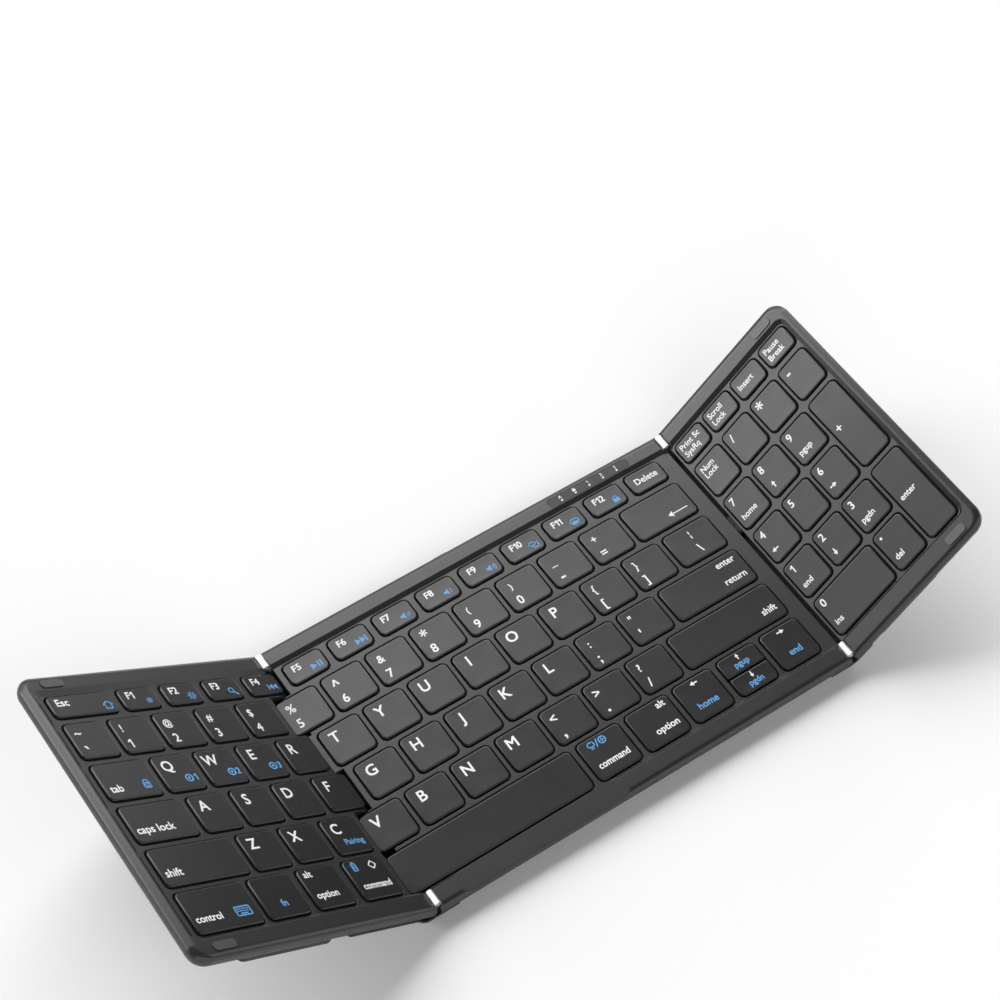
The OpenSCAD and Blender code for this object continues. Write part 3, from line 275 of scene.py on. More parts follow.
MATS = {
    "case_plastic": grained("case_plastic", (0.024, 0.0245, 0.026), 0.42, edge=0.00035),
    "frame_plastic": grained("frame_plastic", (0.026, 0.0265, 0.028), 0.2, depth=0.000004,
                             edge=0.0004),
    "key_plastic": grained("key_plastic", (0.018, 0.0183, 0.0195), 0.17, grain=0.00018,
                           depth=0.000001, edge=0.00005),
    # Painted shade: a darker colour and weaker reflection on the long keys stand in for the shade
    # that falls on them.
    "long_key_painted_shade": grained("long_key_painted_shade", (0.012, 0.0122, 0.013), 0.16,
                                grain=0.00018, depth=0.000001, edge=0.00005,
                                Specular_IOR_Level=0.33),
    # Painted shade: the caps' sides are darker plastic, pushed to near black with almost no
    # reflection so that they read as shaded.
    "key_side_painted_shade": grained("key_side_painted_shade", (0.003, 0.003, 0.0033), 0.5, depth=0.0, edge=0.00003,
                        Specular_IOR_Level=0.04),
    "plate_metal": brushed("plate_metal", (0.42, 0.43, 0.44), 0.38, along=(40, 1, 1)),
    # Partly the membrane's own black layer, partly painted shade: kept near black so that the gaps
    # between keys read as shaded.
    "film": grained("film", (0.012, 0.012, 0.013), 0.4, depth=0.0, drift=0.02, edge=0.00002),
    "dome_rubber": grained("dome_rubber", (0.66, 0.66, 0.62), 0.6, drift=0.03, edge=0.0001),
    "link_plastic": grained("link_plastic", (0.72, 0.72, 0.7), 0.5, drift=0.03, edge=0.00005),
    "foot_rubber": grained("foot_rubber", (0.014, 0.014, 0.015), 0.74, grain=0.0004,
                           depth=0.00004, edge=0.0003, Sheen_Weight=0.1),
    "bumper_rubber": grained("bumper_rubber", (0.04, 0.041, 0.043), 0.3, depth=0.000008,
                             edge=0.00015, Specular_IOR_Level=0.7),
    "steel": brushed("steel", (0.86, 0.87, 0.88), 0.42),
    "cover_sheet": grained("cover_sheet", (0.022, 0.0225, 0.024), 0.6, grain=0.0006,
                           depth=0.00006, edge=0.0001),
    "circuit_board": grained("circuit_board", (0.012, 0.09, 0.045), 0.35, grain=0.0015,
                             depth=0.00001, drift=0.2, edge=0.0001, Coat_Weight=0.4),
    "cell_foil": brushed("cell_foil", (0.62, 0.63, 0.66), 0.35, along=(6, 6, 6)),
    "knob_plastic": grained("knob_plastic", (0.02, 0.02, 0.022), 0.5, edge=0.00012),
    "window_plastic": grained("window_plastic", (0.014, 0.0145, 0.016), 0.36, depth=0.0,
                              drift=0.02, edge=0.0001),
    "white_print": grained("white_print", (0.86, 0.87, 0.88), 0.5, depth=0.0, drift=0.02,
                           edge=0.00001),
    "blue_print": grained("blue_print", (0.11, 0.35, 0.70), 0.5, depth=0.0, drift=0.02,
                          edge=0.00001),
}
SLOTS = {s["node"]: s["material_slot"] for s in frame["record"]["subparts"]}


def dress(ob, slot_name, paint=None):
    ob.data.materials.clear()
    ob.data.materials.append(MATS[paint or slot_name])


for name, ob in frame["nodes"].items():
    dress(ob, SLOTS[name])


# ------------------------------------------------------------------ mesh helpers
def add_object(name, mesh, body, slot_name, paint=None, smooth=True):
    """The mesh is already in the row frame, so its object stays at the origin."""
    ob = bpy.data.objects.new(name, mesh)
    bpy.context.scene.collection.objects.link(ob)
    for p in mesh.polygons:
        p.use_smooth = smooth
    dress(ob, slot_name, paint)
    if body:
        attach(ob, body)
    return ob


def rounded(x0, x1, y0, y1, rear, front=None, steps=6):
    """Outline of a rectangle with round corners, counterclockwise."""
    rear = max(rear, LEAST_R)
    front = rear if front is None else max(front, LEAST_R)
    ring = []
    for cx, cy, r, a0 in ((x1 - rear, y1 - rear, rear, 0), (x0 + rear, y1 - rear, rear, 90),
                          (x0 + front, y0 + front, front, 180),
                          (x1 - front, y0 + front, front, 270)):
        for i in range(steps + 1):
            a = math.radians(a0 + 90 * i / steps)
            ring.append((cx + r * math.cos(a), cy + r * math.sin(a)))
    return ring


def ring_stack(bm, rings):
    """Skins a list of equally long rings and closes both ends."""
    verts = [[bm.verts.new(Vector(p) * MM) for p in ring] for ring in rings]
    n = len(verts[0])
    for a, b in zip(verts, verts[1:]):
        for i in range(n):
            bm.faces.new((a[i], a[(i + 1) % n], b[(i + 1) % n], b[i]))
    bm.faces.new(list(reversed(verts[0])))
    bm.faces.new(verts[-1])


def finish_mesh(bm, name, place):
    bmesh.ops.transform(bm, matrix=place, verts=bm.verts)
    bmesh.ops.recalc_face_normals(bm, faces=bm.faces)
    mesh = bpy.data.meshes.new(name)
    bm.to_mesh(mesh)
    bm.free()
    return mesh


# ------------------------------------------------------------------ key caps
def cap(bm, x0, x1, y0, y1, rear=KEY_R, front=KEY_R):
    """One key cap: a hollow shell with a rounded upper edge and a slightly dished top."""
    low = KEY_TOP - CAP_H
    roof = KEY_TOP - CAP_ROOF

    def ring(inset, z, least=LEAST_R):
        return [(x, y, z) for x, y in rounded(x0 + inset, x1 - inset, y0 + inset, y1 - inset,
                                              max(rear - inset, least), max(front - inset, least))]

    rings = [ring(CAP_SKIRT, roof), ring(CAP_SKIRT, low), ring(0, low)]
    rings.append(ring(0, KEY_TOP - CAP_EDGE - CAP_WALL))
    for i in range(5):
        a = math.radians(90 * i / 4)
        rings.append(ring(CAP_EDGE * (1 - math.cos(a)), KEY_TOP - CAP_EDGE * (1 - math.sin(a))))
    flat = CAP_EDGE + CAP_FLAT
    half = min(x1 - x0, y1 - y0) / 2
    for i in range(6):
        inset = flat + (half - flat) * DISH_REACH * i / 5
        fall = CAP_DISH * (1 - (1 - i / 5) ** 2)
        rings.append(ring(inset, KEY_TOP - fall, TOP_RING_R))
    ring_stack(bm, rings)


# Slots of a caps mesh: letter tops; long-key tops darkened with painted shade; sides pushed to near
# black with painted shade.
LETTER_TOP, LONG_SHADED_TOP, SHADED_SIDE = range(3)


def cap_group(node_name, body, panel, keys):
    """The caps of one CAD node: letter keys, long keys whose darker top is painted shade, and on
    both, sides of darker plastic pushed to near black with painted shade.
    """
    bm = bmesh.new()
    for k in keys:
        done = len(bm.faces)
        cap(bm, *k)
        bm.faces.ensure_lookup_table()
        top = LONG_SHADED_TOP if k[1] - k[0] > SHADED_KEY_WIDTH else LETTER_TOP
        for f in bm.faces[done:]:
            # Faces below the top's edge take the sides' near-black painted shade.
            high = min(v.co.z for v in f.verts) > (KEY_TOP - EDGE_SHOWN) * MM
            f.material_index = top if high else SHADED_SIDE
    ob = add_object(node_name + "_caps", finish_mesh(bm, node_name + "_caps", PLACE[panel]), body,
                    "key_plastic")
    ob.data.materials.append(MATS["long_key_painted_shade"])
    ob.data.materials.append(MATS["key_side_painted_shade"])
    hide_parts(node_name)


def run(x0, count, pitch, width, row):
    y = ROW_FRONT[row]
    return [(x0 + i * pitch, x0 + i * pitch + width, y, y + ROW_DEPTH[row]) for i in range(count)]


def span(x0, x1, row):
    return (x0, x1, ROW_FRONT[row], ROW_FRONT[row] + ROW_DEPTH[row])


PITCH, KEY_W, FN_PITCH, FN_W = 18.5, 15.9, 18.55, 15.05
BLOCK_LEFT, BLOCK_RIGHT = -98.4, 80.95
LEFT = {
    FN: [span(BLOCK_LEFT, -71.9, FN)] + run(-69.3, 4, FN_PITCH, FN_W, FN),
    NUMBERS: [span(BLOCK_LEFT, -82.85, NUMBERS)] + run(-80.25, 4, PITCH, KEY_W, NUMBERS),
    UPPER: [span(BLOCK_LEFT, -76.6, UPPER)] + run(-74.0, 4, PITCH, KEY_W, UPPER),
    MIDDLE: [span(BLOCK_LEFT, -72.9, MIDDLE)] + run(-70.3, 4, PITCH, KEY_W, MIDDLE),
    LOWER: [span(BLOCK_LEFT, -63.9, LOWER)] + run(-61.3, 3, PITCH, KEY_W, LOWER),
    FRONT: [span(BLOCK_LEFT, -70.9, FRONT), span(-68.6, -51.0, FRONT),
            span(-47.55, -30.8, FRONT), span(-26.95, -9.2, FRONT)],
}
FRONT_LOW, FRONT_HIGH = ROW_FRONT[FRONT], ROW_FRONT[FRONT] + ROW_DEPTH[FRONT]
CURSOR_X, CURSOR_D, CURSOR_R = (45.5, 61.8), 7.9, 0.4
CENTRE = {
    FN: run(-82.9, 9, FN_PITCH, FN_W, FN),
    NUMBERS: run(-93.1, 8, PITCH, KEY_W, NUMBERS) + [span(54.9, BLOCK_RIGHT, NUMBERS)],
    UPPER: run(-86.75, 8, PITCH, KEY_W, UPPER) + [span(61.25, BLOCK_RIGHT, UPPER)],
    MIDDLE: run(-83.3, 7, PITCH, KEY_W, MIDDLE),
    LOWER: run(-92.6, 7, PITCH, KEY_W, LOWER) + [span(36.9, BLOCK_RIGHT, LOWER)],
    FRONT: [span(-15.15, 2.5, FRONT), span(5.5, 23.25, FRONT), span(26.05, 42.35, FRONT),
            (*CURSOR_X, FRONT_HIGH - CURSOR_D, FRONT_HIGH, KEY_R, CURSOR_R),
            (*CURSOR_X, FRONT_LOW, FRONT_LOW + CURSOR_D, CURSOR_R, KEY_R),
            span(64.65, BLOCK_RIGHT, FRONT)],
    "space": [span(-92.8, -18.1, FRONT)],
    "enter": [span(46.2, BLOCK_RIGHT, MIDDLE)],
}
PAD_X, PAD_PITCH, PAD_W = 1.8, 16.05, 13.75


def pad_run(count, row):
    return run(PAD_X, count, PAD_PITCH, PAD_W, row)


def pad_tall(low, high):
    """The tall key at the pad's right, over two rows."""
    x = PAD_X + 3 * PAD_PITCH
    return (x, x + PAD_W, ROW_FRONT[low], ROW_FRONT[high] + ROW_DEPTH[high])


PAD = {
    FN: pad_run(4, FN),
    NUMBERS: pad_run(4, NUMBERS),
    UPPER: pad_run(3, UPPER) + [pad_tall(MIDDLE, UPPER)],
    MIDDLE: pad_run(3, MIDDLE),
    LOWER: pad_run(3, LOWER) + [pad_tall(FRONT, LOWER)],
    FRONT: [span(PAD_X, 31.6, FRONT), span(33.9, 47.65, FRONT)],
}
ROW_WORD = {FN: "function", NUMBERS: "number", UPPER: "upper", MIDDLE: "middle",
            LOWER: "lower", FRONT: "front"}

# ------------------------------------------------------------------ printed legends
WHITE, BLUE = "white_print", "blue_print"


def plain_text(text):
    """A word as a flat mesh, in the font's own units."""
    curve = bpy.data.curves.new("word", "FONT")
    curve.body = text
    curve.size = 1.0
    curve.resolution_u = 3
    curve.fill_mode = "FRONT"
    ob = bpy.data.objects.new("word", curve)
    mesh = bpy.data.meshes.new_from_object(ob)
    bpy.data.objects.remove(ob)
    points = [(v.co.x, v.co.y) for v in mesh.vertices]
    faces = [tuple(p.vertices) for p in mesh.polygons]
    bpy.data.meshes.remove(mesh)
    bpy.data.curves.remove(curve)
    return points, faces


# How much larger than the other legends some signs are printed
GROWN = {"^": 1.4, "*": 1.5, "(": 0.78, ")": 0.78, "`": 1.6, "@": 0.86, "%": 1.08, "-": 1.4,
         "~": 1.1, "'": 1.2, ",": 1.35, ".": 1.5, ";": 1.15, "<": 1.15, ">": 1.15}
# Shares of a word's width or height
NARROW = 0.96
SQUEEZED = 0.88
LETTER_SPACE = 0.13
ONE_STEM, ONE_FLAG = 0.13, 0.26
CAPITAL = max(y for x, y in plain_text("H")[0])


def text_mesh(text, height):
    """A word as a flat mesh in millimetres, its capitals that high."""
    points, faces = plain_text(text)
    scale = height / CAPITAL
    return [(x * scale * NARROW, y * scale) for x, y in points], faces


def figure_one(height):
    """The figure 1 as a stem with a flag."""
    stem = height * ONE_STEM
    flag = height * ONE_FLAG
    outline = [(0, 0.66), (flag, 0.79), (flag, 0), (flag + stem, 0), (flag + stem, 1),
               (flag + stem * 0.3, 1), (0, 0.8)]
    return [(x, y * height) for x, y in outline], [(0, 1, 5, 6), (1, 2, 3, 4, 5)]


def digit_word(text, height):
    """A word in which each 1 is drawn as figure_one, its letters set one by one."""
    points, faces, pen = [], [], 0.0
    for letter_text in text:
        glyph, rings = (figure_one(height) if letter_text == "1"
                        else text_mesh(letter_text, height))
        low = min(x for x, y in glyph)
        first = len(points)
        points += [(x - low + pen, y) for x, y in glyph]
        faces += [tuple(first + i for i in ring) for ring in rings]
        pen = max(x for x, y in points) + LETTER_SPACE * height
    return points, faces


def bar(x0, y0, x1, y1, w):
    """A straight stroke of width w between two points."""
    d = Vector((x1 - x0, y1 - y0)).normalized() * w / 2
    n = Vector((-d.y, d.x))
    return [(x0 + n.x, y0 + n.y), (x0 - n.x, y0 - n.y), (x1 - n.x, y1 - n.y), (x1 + n.x, y1 + n.y)]


def disc(x, y, r, n=16):
    return [(x + r * math.cos(math.tau * i / n), y + r * math.sin(math.tau * i / n))
            for i in range(n)]


def hoop(x, y, r, w, n=20, a0=0.0, a1=360.0):
    """A ring, or a part of one, as a list of small quadrilaterals."""
    out = []
    for i in range(n):
        a, b = (math.radians(a0 + (a1 - a0) * k / n) for k in (i, i + 1))
        out.append([(x + q * math.cos(t), y + q * math.sin(t))
                    for t, q in ((a, r - w / 2), (a, r + w / 2), (b, r + w / 2), (b, r - w / 2))])
    return out


def arrow(dx, dy, length, head=0.5, w=0.55):
    """An arrow centred on 0, pointing along (dx, dy)."""
    h = length * head
    tip = (dx * length / 2, dy * length / 2)
    neck = (tip[0] - dx * h, tip[1] - dy * h)
    tail = (-tip[0], -tip[1])
    s = h * 0.62
    tri = [tip, (neck[0] - dy * s, neck[1] + dx * s), (neck[0] + dy * s, neck[1] - dx * s)]
    return [tri, bar(*tail, *neck, w)]


LINE = 0.48


def box_line(w, h, t=LINE, x=0.0, y=0.0):
    return [bar(x - w / 2, y + v, x + w / 2, y + v, t) for v in (-h / 2 + t / 2, h / 2 - t / 2)] + [
        bar(x + u, y - h / 2, x + u, y + h / 2, t) for u in (-w / 2 + t / 2, w / 2 - t / 2)]


def wedge(x, w, h=2.8):
    """A solid triangle that points right, its left side at x."""
    return [(x, -h / 2), (x + w, 0), (x, h / 2)]


def mirrored(shapes):
    return [[(-x, y) for x, y in poly][::-1] for poly in shapes]


def rays(inner, outer, count=8, w=0.42):
    turns = [math.tau * i / count for i in range(count)]
    return [bar(math.cos(a) * inner, math.sin(a) * inner, math.cos(a) * outer,
                math.sin(a) * outer, w) for a in turns]


HORN = [[(-1.9, -0.6), (-1.0, -0.6), (0.1, -1.5), (0.1, 1.5), (-1.0, 0.6), (-1.9, 0.6)]]
SKIP = [wedge(-2.3, 2.0), wedge(-0.3, 2.0), bar(2.0, -1.4, 2.0, 1.4, 0.55)]


def wave(r):
    return hoop(0.1, 0, r, 0.42, 8, -48, 48)


# Small generic pictures, as lists of polygons in millimetres around their centre
SIGNS = {
    "left": arrow(-1, 0, 3.1),
    "right": arrow(1, 0, 3.1),
    "up": arrow(0, 1, 2.9),
    "down": arrow(0, -1, 2.9),
    "long_left": arrow(-1, 0, 8.6, 0.24, 0.45),
    "house": [bar(-2.1, 0.1, 0, 1.8, LINE), bar(0, 1.8, 2.1, 0.1, LINE),
              bar(-1.3, 0.3, -1.3, -1.6, LINE), bar(1.3, 0.3, 1.3, -1.6, LINE),
              bar(-1.5, -1.6, 1.5, -1.6, LINE)],
    "sun_small": rays(0.3, 1.35, w=0.36),
    "sun": rays(0.5, 1.9, w=0.42),
    "lens": hoop(-0.6, 0.5, 1.05, 0.5) + [bar(0.1, -0.3, 1.8, -1.8, 0.65)],
    "back": mirrored(SKIP),
    "next": SKIP,
    "play": [wedge(-2.2, 2.4), bar(0.8, -1.4, 0.8, 1.4, 0.6), bar(1.9, -1.4, 1.9, 1.4, 0.6)],
    "mute": HORN + [bar(0.8, -0.8, 2.1, 0.8, 0.42), bar(0.8, 0.8, 2.1, -0.8, 0.42)],
    "quiet": HORN + wave(1.1),
    "loud": HORN + wave(1.0) + wave(1.9),
    "screens": box_line(3.2, 2.2, x=-0.4, y=0.3) + [bar(1.9, -1.6, 1.9, 0.6, LINE),
                                                    bar(-0.4, -1.6, 2.1, -1.6, LINE)],
    "picture": box_line(4.0, 2.9) + [
        [(-1.5, -0.9), (-0.5, 0.6), (0.3, -0.2), (0.8, 0.3), (1.5, -0.9)]],
    "lock": [[(-1.3, -1.6), (1.3, -1.6), (1.3, 0.2), (-1.3, 0.2)]] + hoop(
        0, 0.3, 0.9, 0.45, 10, 0, 180),
    "chest": box_line(3.0, 2.5, y=-0.6) + hoop(0, 0.6, 1.1, 0.45, 10, 0, 180) + [
        bar(-0.8, -0.2, 0.8, -0.2, 0.36), bar(-0.8, -1.0, 0.8, -1.0, 0.36)],
    "cell": box_line(2.3, 3.4, y=-0.2) + [bar(-0.6, 1.8, 0.6, 1.8, 0.45),
                                          bar(-0.35, -1.1, -0.35, 0.8, 0.36),
                                          bar(0.4, -1.1, 0.4, 0.8, 0.36)],
    "keys": box_line(6.4, 3.9) + [disc(x, y, 0.34, 8) for x in (-2.0, -1.0, 0, 1.0, 2.0)
                                  for y in (0.85, 0.0)] + [bar(-1.5, -0.95, 1.5, -0.95, 0.45)],
    "eye": hoop(0, 0, 1.35, 0.6) + [disc(0, 0, 0.55)],
    "desk_globe": box_line(3.0, 2.4, x=-2.4, y=0.3) + [
        bar(-3.1, -1.5, -1.7, -1.5, 0.42), bar(-0.6, -1.7, 0.5, 1.7, 0.45)] + hoop(
            2.4, 0, 1.4, 0.48) + [bar(1.1, 0, 3.7, 0, 0.36), bar(2.4, -1.3, 2.4, 1.3, 0.36)],
    "split_bar": [bar(0, -1.7, 0, -0.3, LINE), bar(0, 0.3, 0, 1.7, LINE)],
    "diamond": [bar(*a, *b, 0.45) for a, b in (((-1.6, 0), (0, 1.6)), ((0, 1.6), (1.6, 0)),
                                               ((1.6, 0), (0, -1.6)), ((0, -1.6), (-1.6, 0)))],
}


class Print:
    """Collects flat shapes on one group of keys, one colour at a time."""

    def __init__(self):
        self.shapes = {WHITE: [], BLUE: []}

    def word(self, text, x, base, height, paint=WHITE, align=0.5, weight=0.026, wide=1.0):
        """A word, struck four times a little apart so that its strokes come out bolder."""
        points, faces = (digit_word if "1" in text else text_mesh)(text, height)
        low, high = min(p[0] for p in points), max(p[0] for p in points)
        mid_x = (low + high) / 2
        mid_y = (min(p[1] for p in points) + max(p[1] for p in points)) / 2
        grow = GROWN.get(text, 1.0)
        dx = x + mid_x - low - (high - low) * align
        bold = weight * height
        for i, (sx, sy) in enumerate(((-1, -1), (1, -1), (-1, 1), (1, 1))):
            self.shapes[paint].append((
                [((px - mid_x) * grow * wide + dx + sx * bold,
                  (py - mid_y) * grow + mid_y + base + sy * bold) for px, py in points],
                faces, STRIKE * i))

    def sign(self, name, x, y, paint=WHITE, size=1.0):
        for poly in SIGNS[name]:
            self.shapes[paint].append(([(px * size + x, py * size + y) for px, py in poly],
                                       [tuple(range(len(poly)))], 0.0))

    def build(self, name, body, panel, z=KEY_TOP):
        for paint, shapes in self.shapes.items():
            if not shapes:
                continue
            bm = bmesh.new()
            for points, faces, lift in shapes:
                verts = [bm.verts.new(Vector((x, y, z + PRINT_T + lift)) * MM) for x, y in points]
                for f in faces:
                    bm.faces.new([verts[i] for i in f])
            up = upwards(panel)
            bmesh.ops.transform(bm, matrix=PLACE[panel], verts=bm.verts)
            bm.normal_update()
            for f in bm.faces:
                if f.normal.dot(up) < 0:
                    f.normal_flip()
            mesh = bpy.data.meshes.new(name)
            bm.to_mesh(mesh)
            bm.free()
            suffix = "_white" if paint == WHITE else "_blue"
            add_object(name + suffix, mesh, body, "key_plastic", paint, smooth=False)


LETTER_H, DIGIT_H, SYMBOL_H, WORD_H, FN_H, PAD_WORD_H = 4.2, 3.5, 3.1, 2.6, 2.6, 2.3
LEFT_WORD_H = 2.9


def letter(p, key, text):
    p.word(text, key[0] + 4.8, key[2] + 8.6, LETTER_H, weight=0.023)


def pair(p, key, upper, lower, u=4.2):
    p.word(upper, key[0] + u, key[2] + 9.2, SYMBOL_H, weight=0.022)
    p.word(lower, key[0] + u, key[2] + 2.3, DIGIT_H, weight=0.022)


def left_word(p, key, text, base=3.8, paint=WHITE, u=2.1, height=WORD_H):
    p.word(text, key[0] + u, key[2] + base, height, paint, 0.0)


def right_word(p, key, text, base, paint=WHITE, u=2.6, height=WORD_H):
    p.word(text, key[1] - u, key[2] + base, height, paint, 1.0)


def mid_word(p, key, text, base, paint=WHITE, height=WORD_H, wide=1.0):
    p.word(text, (key[0] + key[1]) / 2, key[2] + base, height, paint, 0.5, wide=wide)


def fn_key(p, key, text, sign=None, height=FN_H):
    p.word(text, key[0] + 2.9, key[2] + 4.7, height, WHITE, 0.0, weight=0.032)
    if sign:
        p.sign(sign, key[1] - 3.9, key[2] + 3.2, BLUE, 0.96)


def print_left(row, keys):
    p = Print()
    if row == FN:
        signs = ("house", "sun_small", "sun", "lens", "back")
        for k, text, sign in zip(keys, ("Esc", "F1", "F2", "F3", "F4"), signs):
            fn_key(p, k, text, sign, LEFT_WORD_H)
    elif row == NUMBERS:
        p.word("~", keys[0][0] + 3.6, keys[0][2] + 9.4, SYMBOL_H)
        p.word("`", keys[0][0] + 3.6, keys[0][2] + 1.6, DIGIT_H)
        pair(p, keys[1], "!", "1", 3.3)
        for k, up, low in zip(keys[2:], "@#$", "234"):
            pair(p, k, up, low)
    elif row == UPPER:
        left_word(p, keys[0], "tab", 3.1, height=LEFT_WORD_H)
        p.sign("chest", keys[0][1] - 4.7, keys[0][2] + 4.9, BLUE)
        for k, text, number in zip(keys[1:], "QWER", ("1", "2", "3", None)):
            letter(p, k, text)
            if number:
                p.sign("eye", k[1] - 5.3, k[2] + 4.8, BLUE)
                p.word(number, k[1] - 2.5, k[2] + 3.6, 2.5, BLUE, weight=0.04)
    elif row == MIDDLE:
        left_word(p, keys[0], "caps lock", 3.6, u=1.9, height=LEFT_WORD_H)
        for k, text in zip(keys[1:], "ASDF"):
            letter(p, k, text)
    elif row == LOWER:
        left_word(p, keys[0], "shift", 3.7, u=1.9, height=LEFT_WORD_H)
        for k, text in zip(keys[1:], "ZXC"):
            letter(p, k, text)
        right_word(p, keys[3], "Pairing", 3.8, BLUE, 2.2, 2.3)
    else:
        left_word(p, keys[0], "control", 4.2, u=1.9)
        p.sign("keys", keys[0][1] - 6.2, keys[0][2] + 5.6, BLUE)
        mid_word(p, keys[1], "fn", 4.2, BLUE)
        left_word(p, keys[2], "alt", 13.0)
        left_word(p, keys[2], "option", 4.2)
        p.sign("cell", keys[3][0] + 4.2, keys[3][2] + 13.7, BLUE)
        p.sign("diamond", keys[3][0] + 12.2, keys[3][2] + 13.4)
        mid_word(p, keys[3], "command", 4.2, wide=SQUEEZED)
    return p


def print_centre(row, keys):
    p = Print()
    if row == FN:
        signs = ("play", "next", "mute", "quiet", "loud", "screens", "picture", "lock")
        for i, (k, sign) in enumerate(zip(keys, signs)):
            fn_key(p, k, "F%d" % (5 + i), sign)
        mid_word(p, keys[8], "Delete", 3.6, height=FN_H)
    elif row == NUMBERS:
        for k, up, low in zip(keys, "%^&*()_+", "567890-="):
            pair(p, k, up, low)
        p.sign("long_left", keys[8][1] - 7.0, keys[8][2] + 4.0)
    elif row == UPPER:
        for k, text in zip(keys, "TYUIOP"):
            letter(p, k, text)
        for k, up, low in zip(keys[6:8], "{}", "[]"):
            pair(p, k, up, low, 3.6)
        p.sign("split_bar", (keys[8][0] + keys[8][1]) / 2, keys[8][2] + 10.8)
        mid_word(p, keys[8], "\\", 2.6, height=DIGIT_H)
    elif row == MIDDLE:
        for k, text in zip(keys, "GHJKL"):
            letter(p, k, text)
        for k, up, low in zip(keys[5:7], ':"', ";'"):
            pair(p, k, up, low, 3.7)
    elif row == LOWER:
        for k, text in zip(keys, "VBNM"):
            letter(p, k, text)
        for k, up, low in zip(keys[4:7], "<>?", ",./"):
            pair(p, k, up, low, 3.6)
        right_word(p, keys[7], "shift", 3.7)
    elif row == "enter":
        right_word(p, keys[0], "enter", 10.9)
        right_word(p, keys[0], "return", 3.4)
    elif row == FRONT:
        p.sign("desk_globe", keys[0][0] + 7.2, keys[0][2] + 13.7, BLUE, 0.95)
        mid_word(p, keys[0], "command", 4.1, wide=SQUEEZED)
        right_word(p, keys[1], "alt", 12.9, u=2.1)
        right_word(p, keys[1], "option", 4.1, u=2.1)
        for k, sign, text in ((keys[2], "left", "home"), (keys[5], "right", "end")):
            p.sign(sign, (k[0] + k[1]) / 2, k[2] + 14.3)
            mid_word(p, k, text, 4.1, BLUE)
        for k, sign, text in ((keys[3], "up", "pgup"), (keys[4], "down", "pgdn")):
            p.sign(sign, (k[0] + k[1]) / 2, k[2] + 5.9, size=0.85)
            mid_word(p, k, text, 2.0, BLUE, 2.3)
    return p


def print_pad(row, keys):
    p = Print()
    if row == FN:
        for k, words in zip(keys, (("Print Sc", "SysRq"), ("Scroll", "Lock"), ("Insert",),
                                   ("Pause", "Break"))):
            bases = (5.3, 2.0) if len(words) == 2 else (3.6,)
            for text, base in zip(words, bases):
                left_word(p, k, text, base, u=1.8, height=PAD_WORD_H)
    elif row == NUMBERS:
        left_word(p, keys[0], "Num", 10.8, height=PAD_WORD_H)
        left_word(p, keys[0], "Lock", 8.0, height=PAD_WORD_H)
        for k, text, base in zip(keys[1:], "/*-", (9.9, 9.7, 10.3)):
            p.word(text, k[0] + 3.1, k[2] + base, 3.3)
    elif row in (UPPER, MIDDLE, LOWER):
        first = {UPPER: 7, MIDDLE: 4, LOWER: 1}[row]
        under = {UPPER: ("home", "up", "pgup"), MIDDLE: ("left", None, "right"),
                 LOWER: ("end", "down", "pgdn")}[row]
        for i, (k, low) in enumerate(zip(keys, under)):
            p.word(str(first + i), k[0] + 3.1, k[2] + 10.6, 3.0)
            if low in ("up", "left", "right", "down"):
                p.sign(low, k[0] + 3.4, k[2] + 4.6)
            elif low:
                left_word(p, k, low, 3.5, height=PAD_WORD_H)
        if row == UPPER:
            p.word("+", keys[3][0] + 3.1, keys[3][2] + 16.3, 3.3)
        if row == LOWER:
            left_word(p, keys[3], "enter", 17.6, u=1.9, height=PAD_WORD_H)
    else:
        p.word("0", keys[0][0] + 3.3, keys[0][2] + 12.3, 3.0)
        left_word(p, keys[0], "ins", 3.8, height=PAD_WORD_H)
        p.word(".", keys[1][0] + 2.7, keys[1][2] + 13.8, 3.3)
        left_word(p, keys[1], "del", 3.8, height=PAD_WORD_H)
    return p


# ------------------------------------------------------------------ what carries each key
SPACE_LOW = -3.3  # z of the membrane's top
DOME_R, LINK, LINK_BAR, LINK_TILT, LINK_GAP = 3.0, 11.0, 0.5, 6.5, 0.1
DOME_GAP, SKIRT_GAP = 0.05, 0.2
DOME_SHAPE = ((1.0, 0.0), (1.0, 0.1), (0.86, 0.14), (0.8, 0.4), (0.66, 0.76), (0.6, 0.82),
              (0.56, 1.0))  # shares of the radius and of the height, from the flange up
TWO_LINKS = 30.0  # caps wider than this have two pairs of links
OWNER = {"left_wing": "left", "middle_panel": "centre", "right_wing": "right"}


def dome(bm, x, y, r):
    """A rubber dome: a flange, a bell and a flat top."""
    h = KEY_TOP - CAP_ROOF - DOME_GAP - SPACE_LOW
    turns = [math.tau * i / 24 for i in range(24)]
    ring_stack(bm, [[(x + r * q * math.cos(a), y + r * q * math.sin(a), SPACE_LOW + h * up)
                     for a in turns] for q, up in DOME_SHAPE])


def link_frame(bm, x, y, depth, tilt):
    """One open frame of a pair of scissor links, tilted about its middle."""
    middle = (SPACE_LOW + KEY_TOP - CAP_ROOF) / 2
    place = Matrix.Scale(MM, 4) @ Matrix.Translation((x, y, middle)) @ Matrix.Rotation(
        math.radians(tilt), 4, "Y")
    across, along = (depth - LINK_BAR) / 2, (LINK - LINK_BAR) / 2
    for cx, cy, w, d in ((0, across, LINK, LINK_BAR), (0, -across, LINK, LINK_BAR),
                         (along, 0, LINK_BAR, depth - 2 * LINK_BAR),
                         (-along, 0, LINK_BAR, depth - 2 * LINK_BAR)):
        made = bmesh.ops.create_cube(bm, size=1.0)["verts"]
        shape = Matrix.Translation((cx, cy, 0)) @ Matrix.Diagonal((w, d, LINK_BAR, 1))
        bmesh.ops.transform(bm, matrix=place @ shape, verts=made)


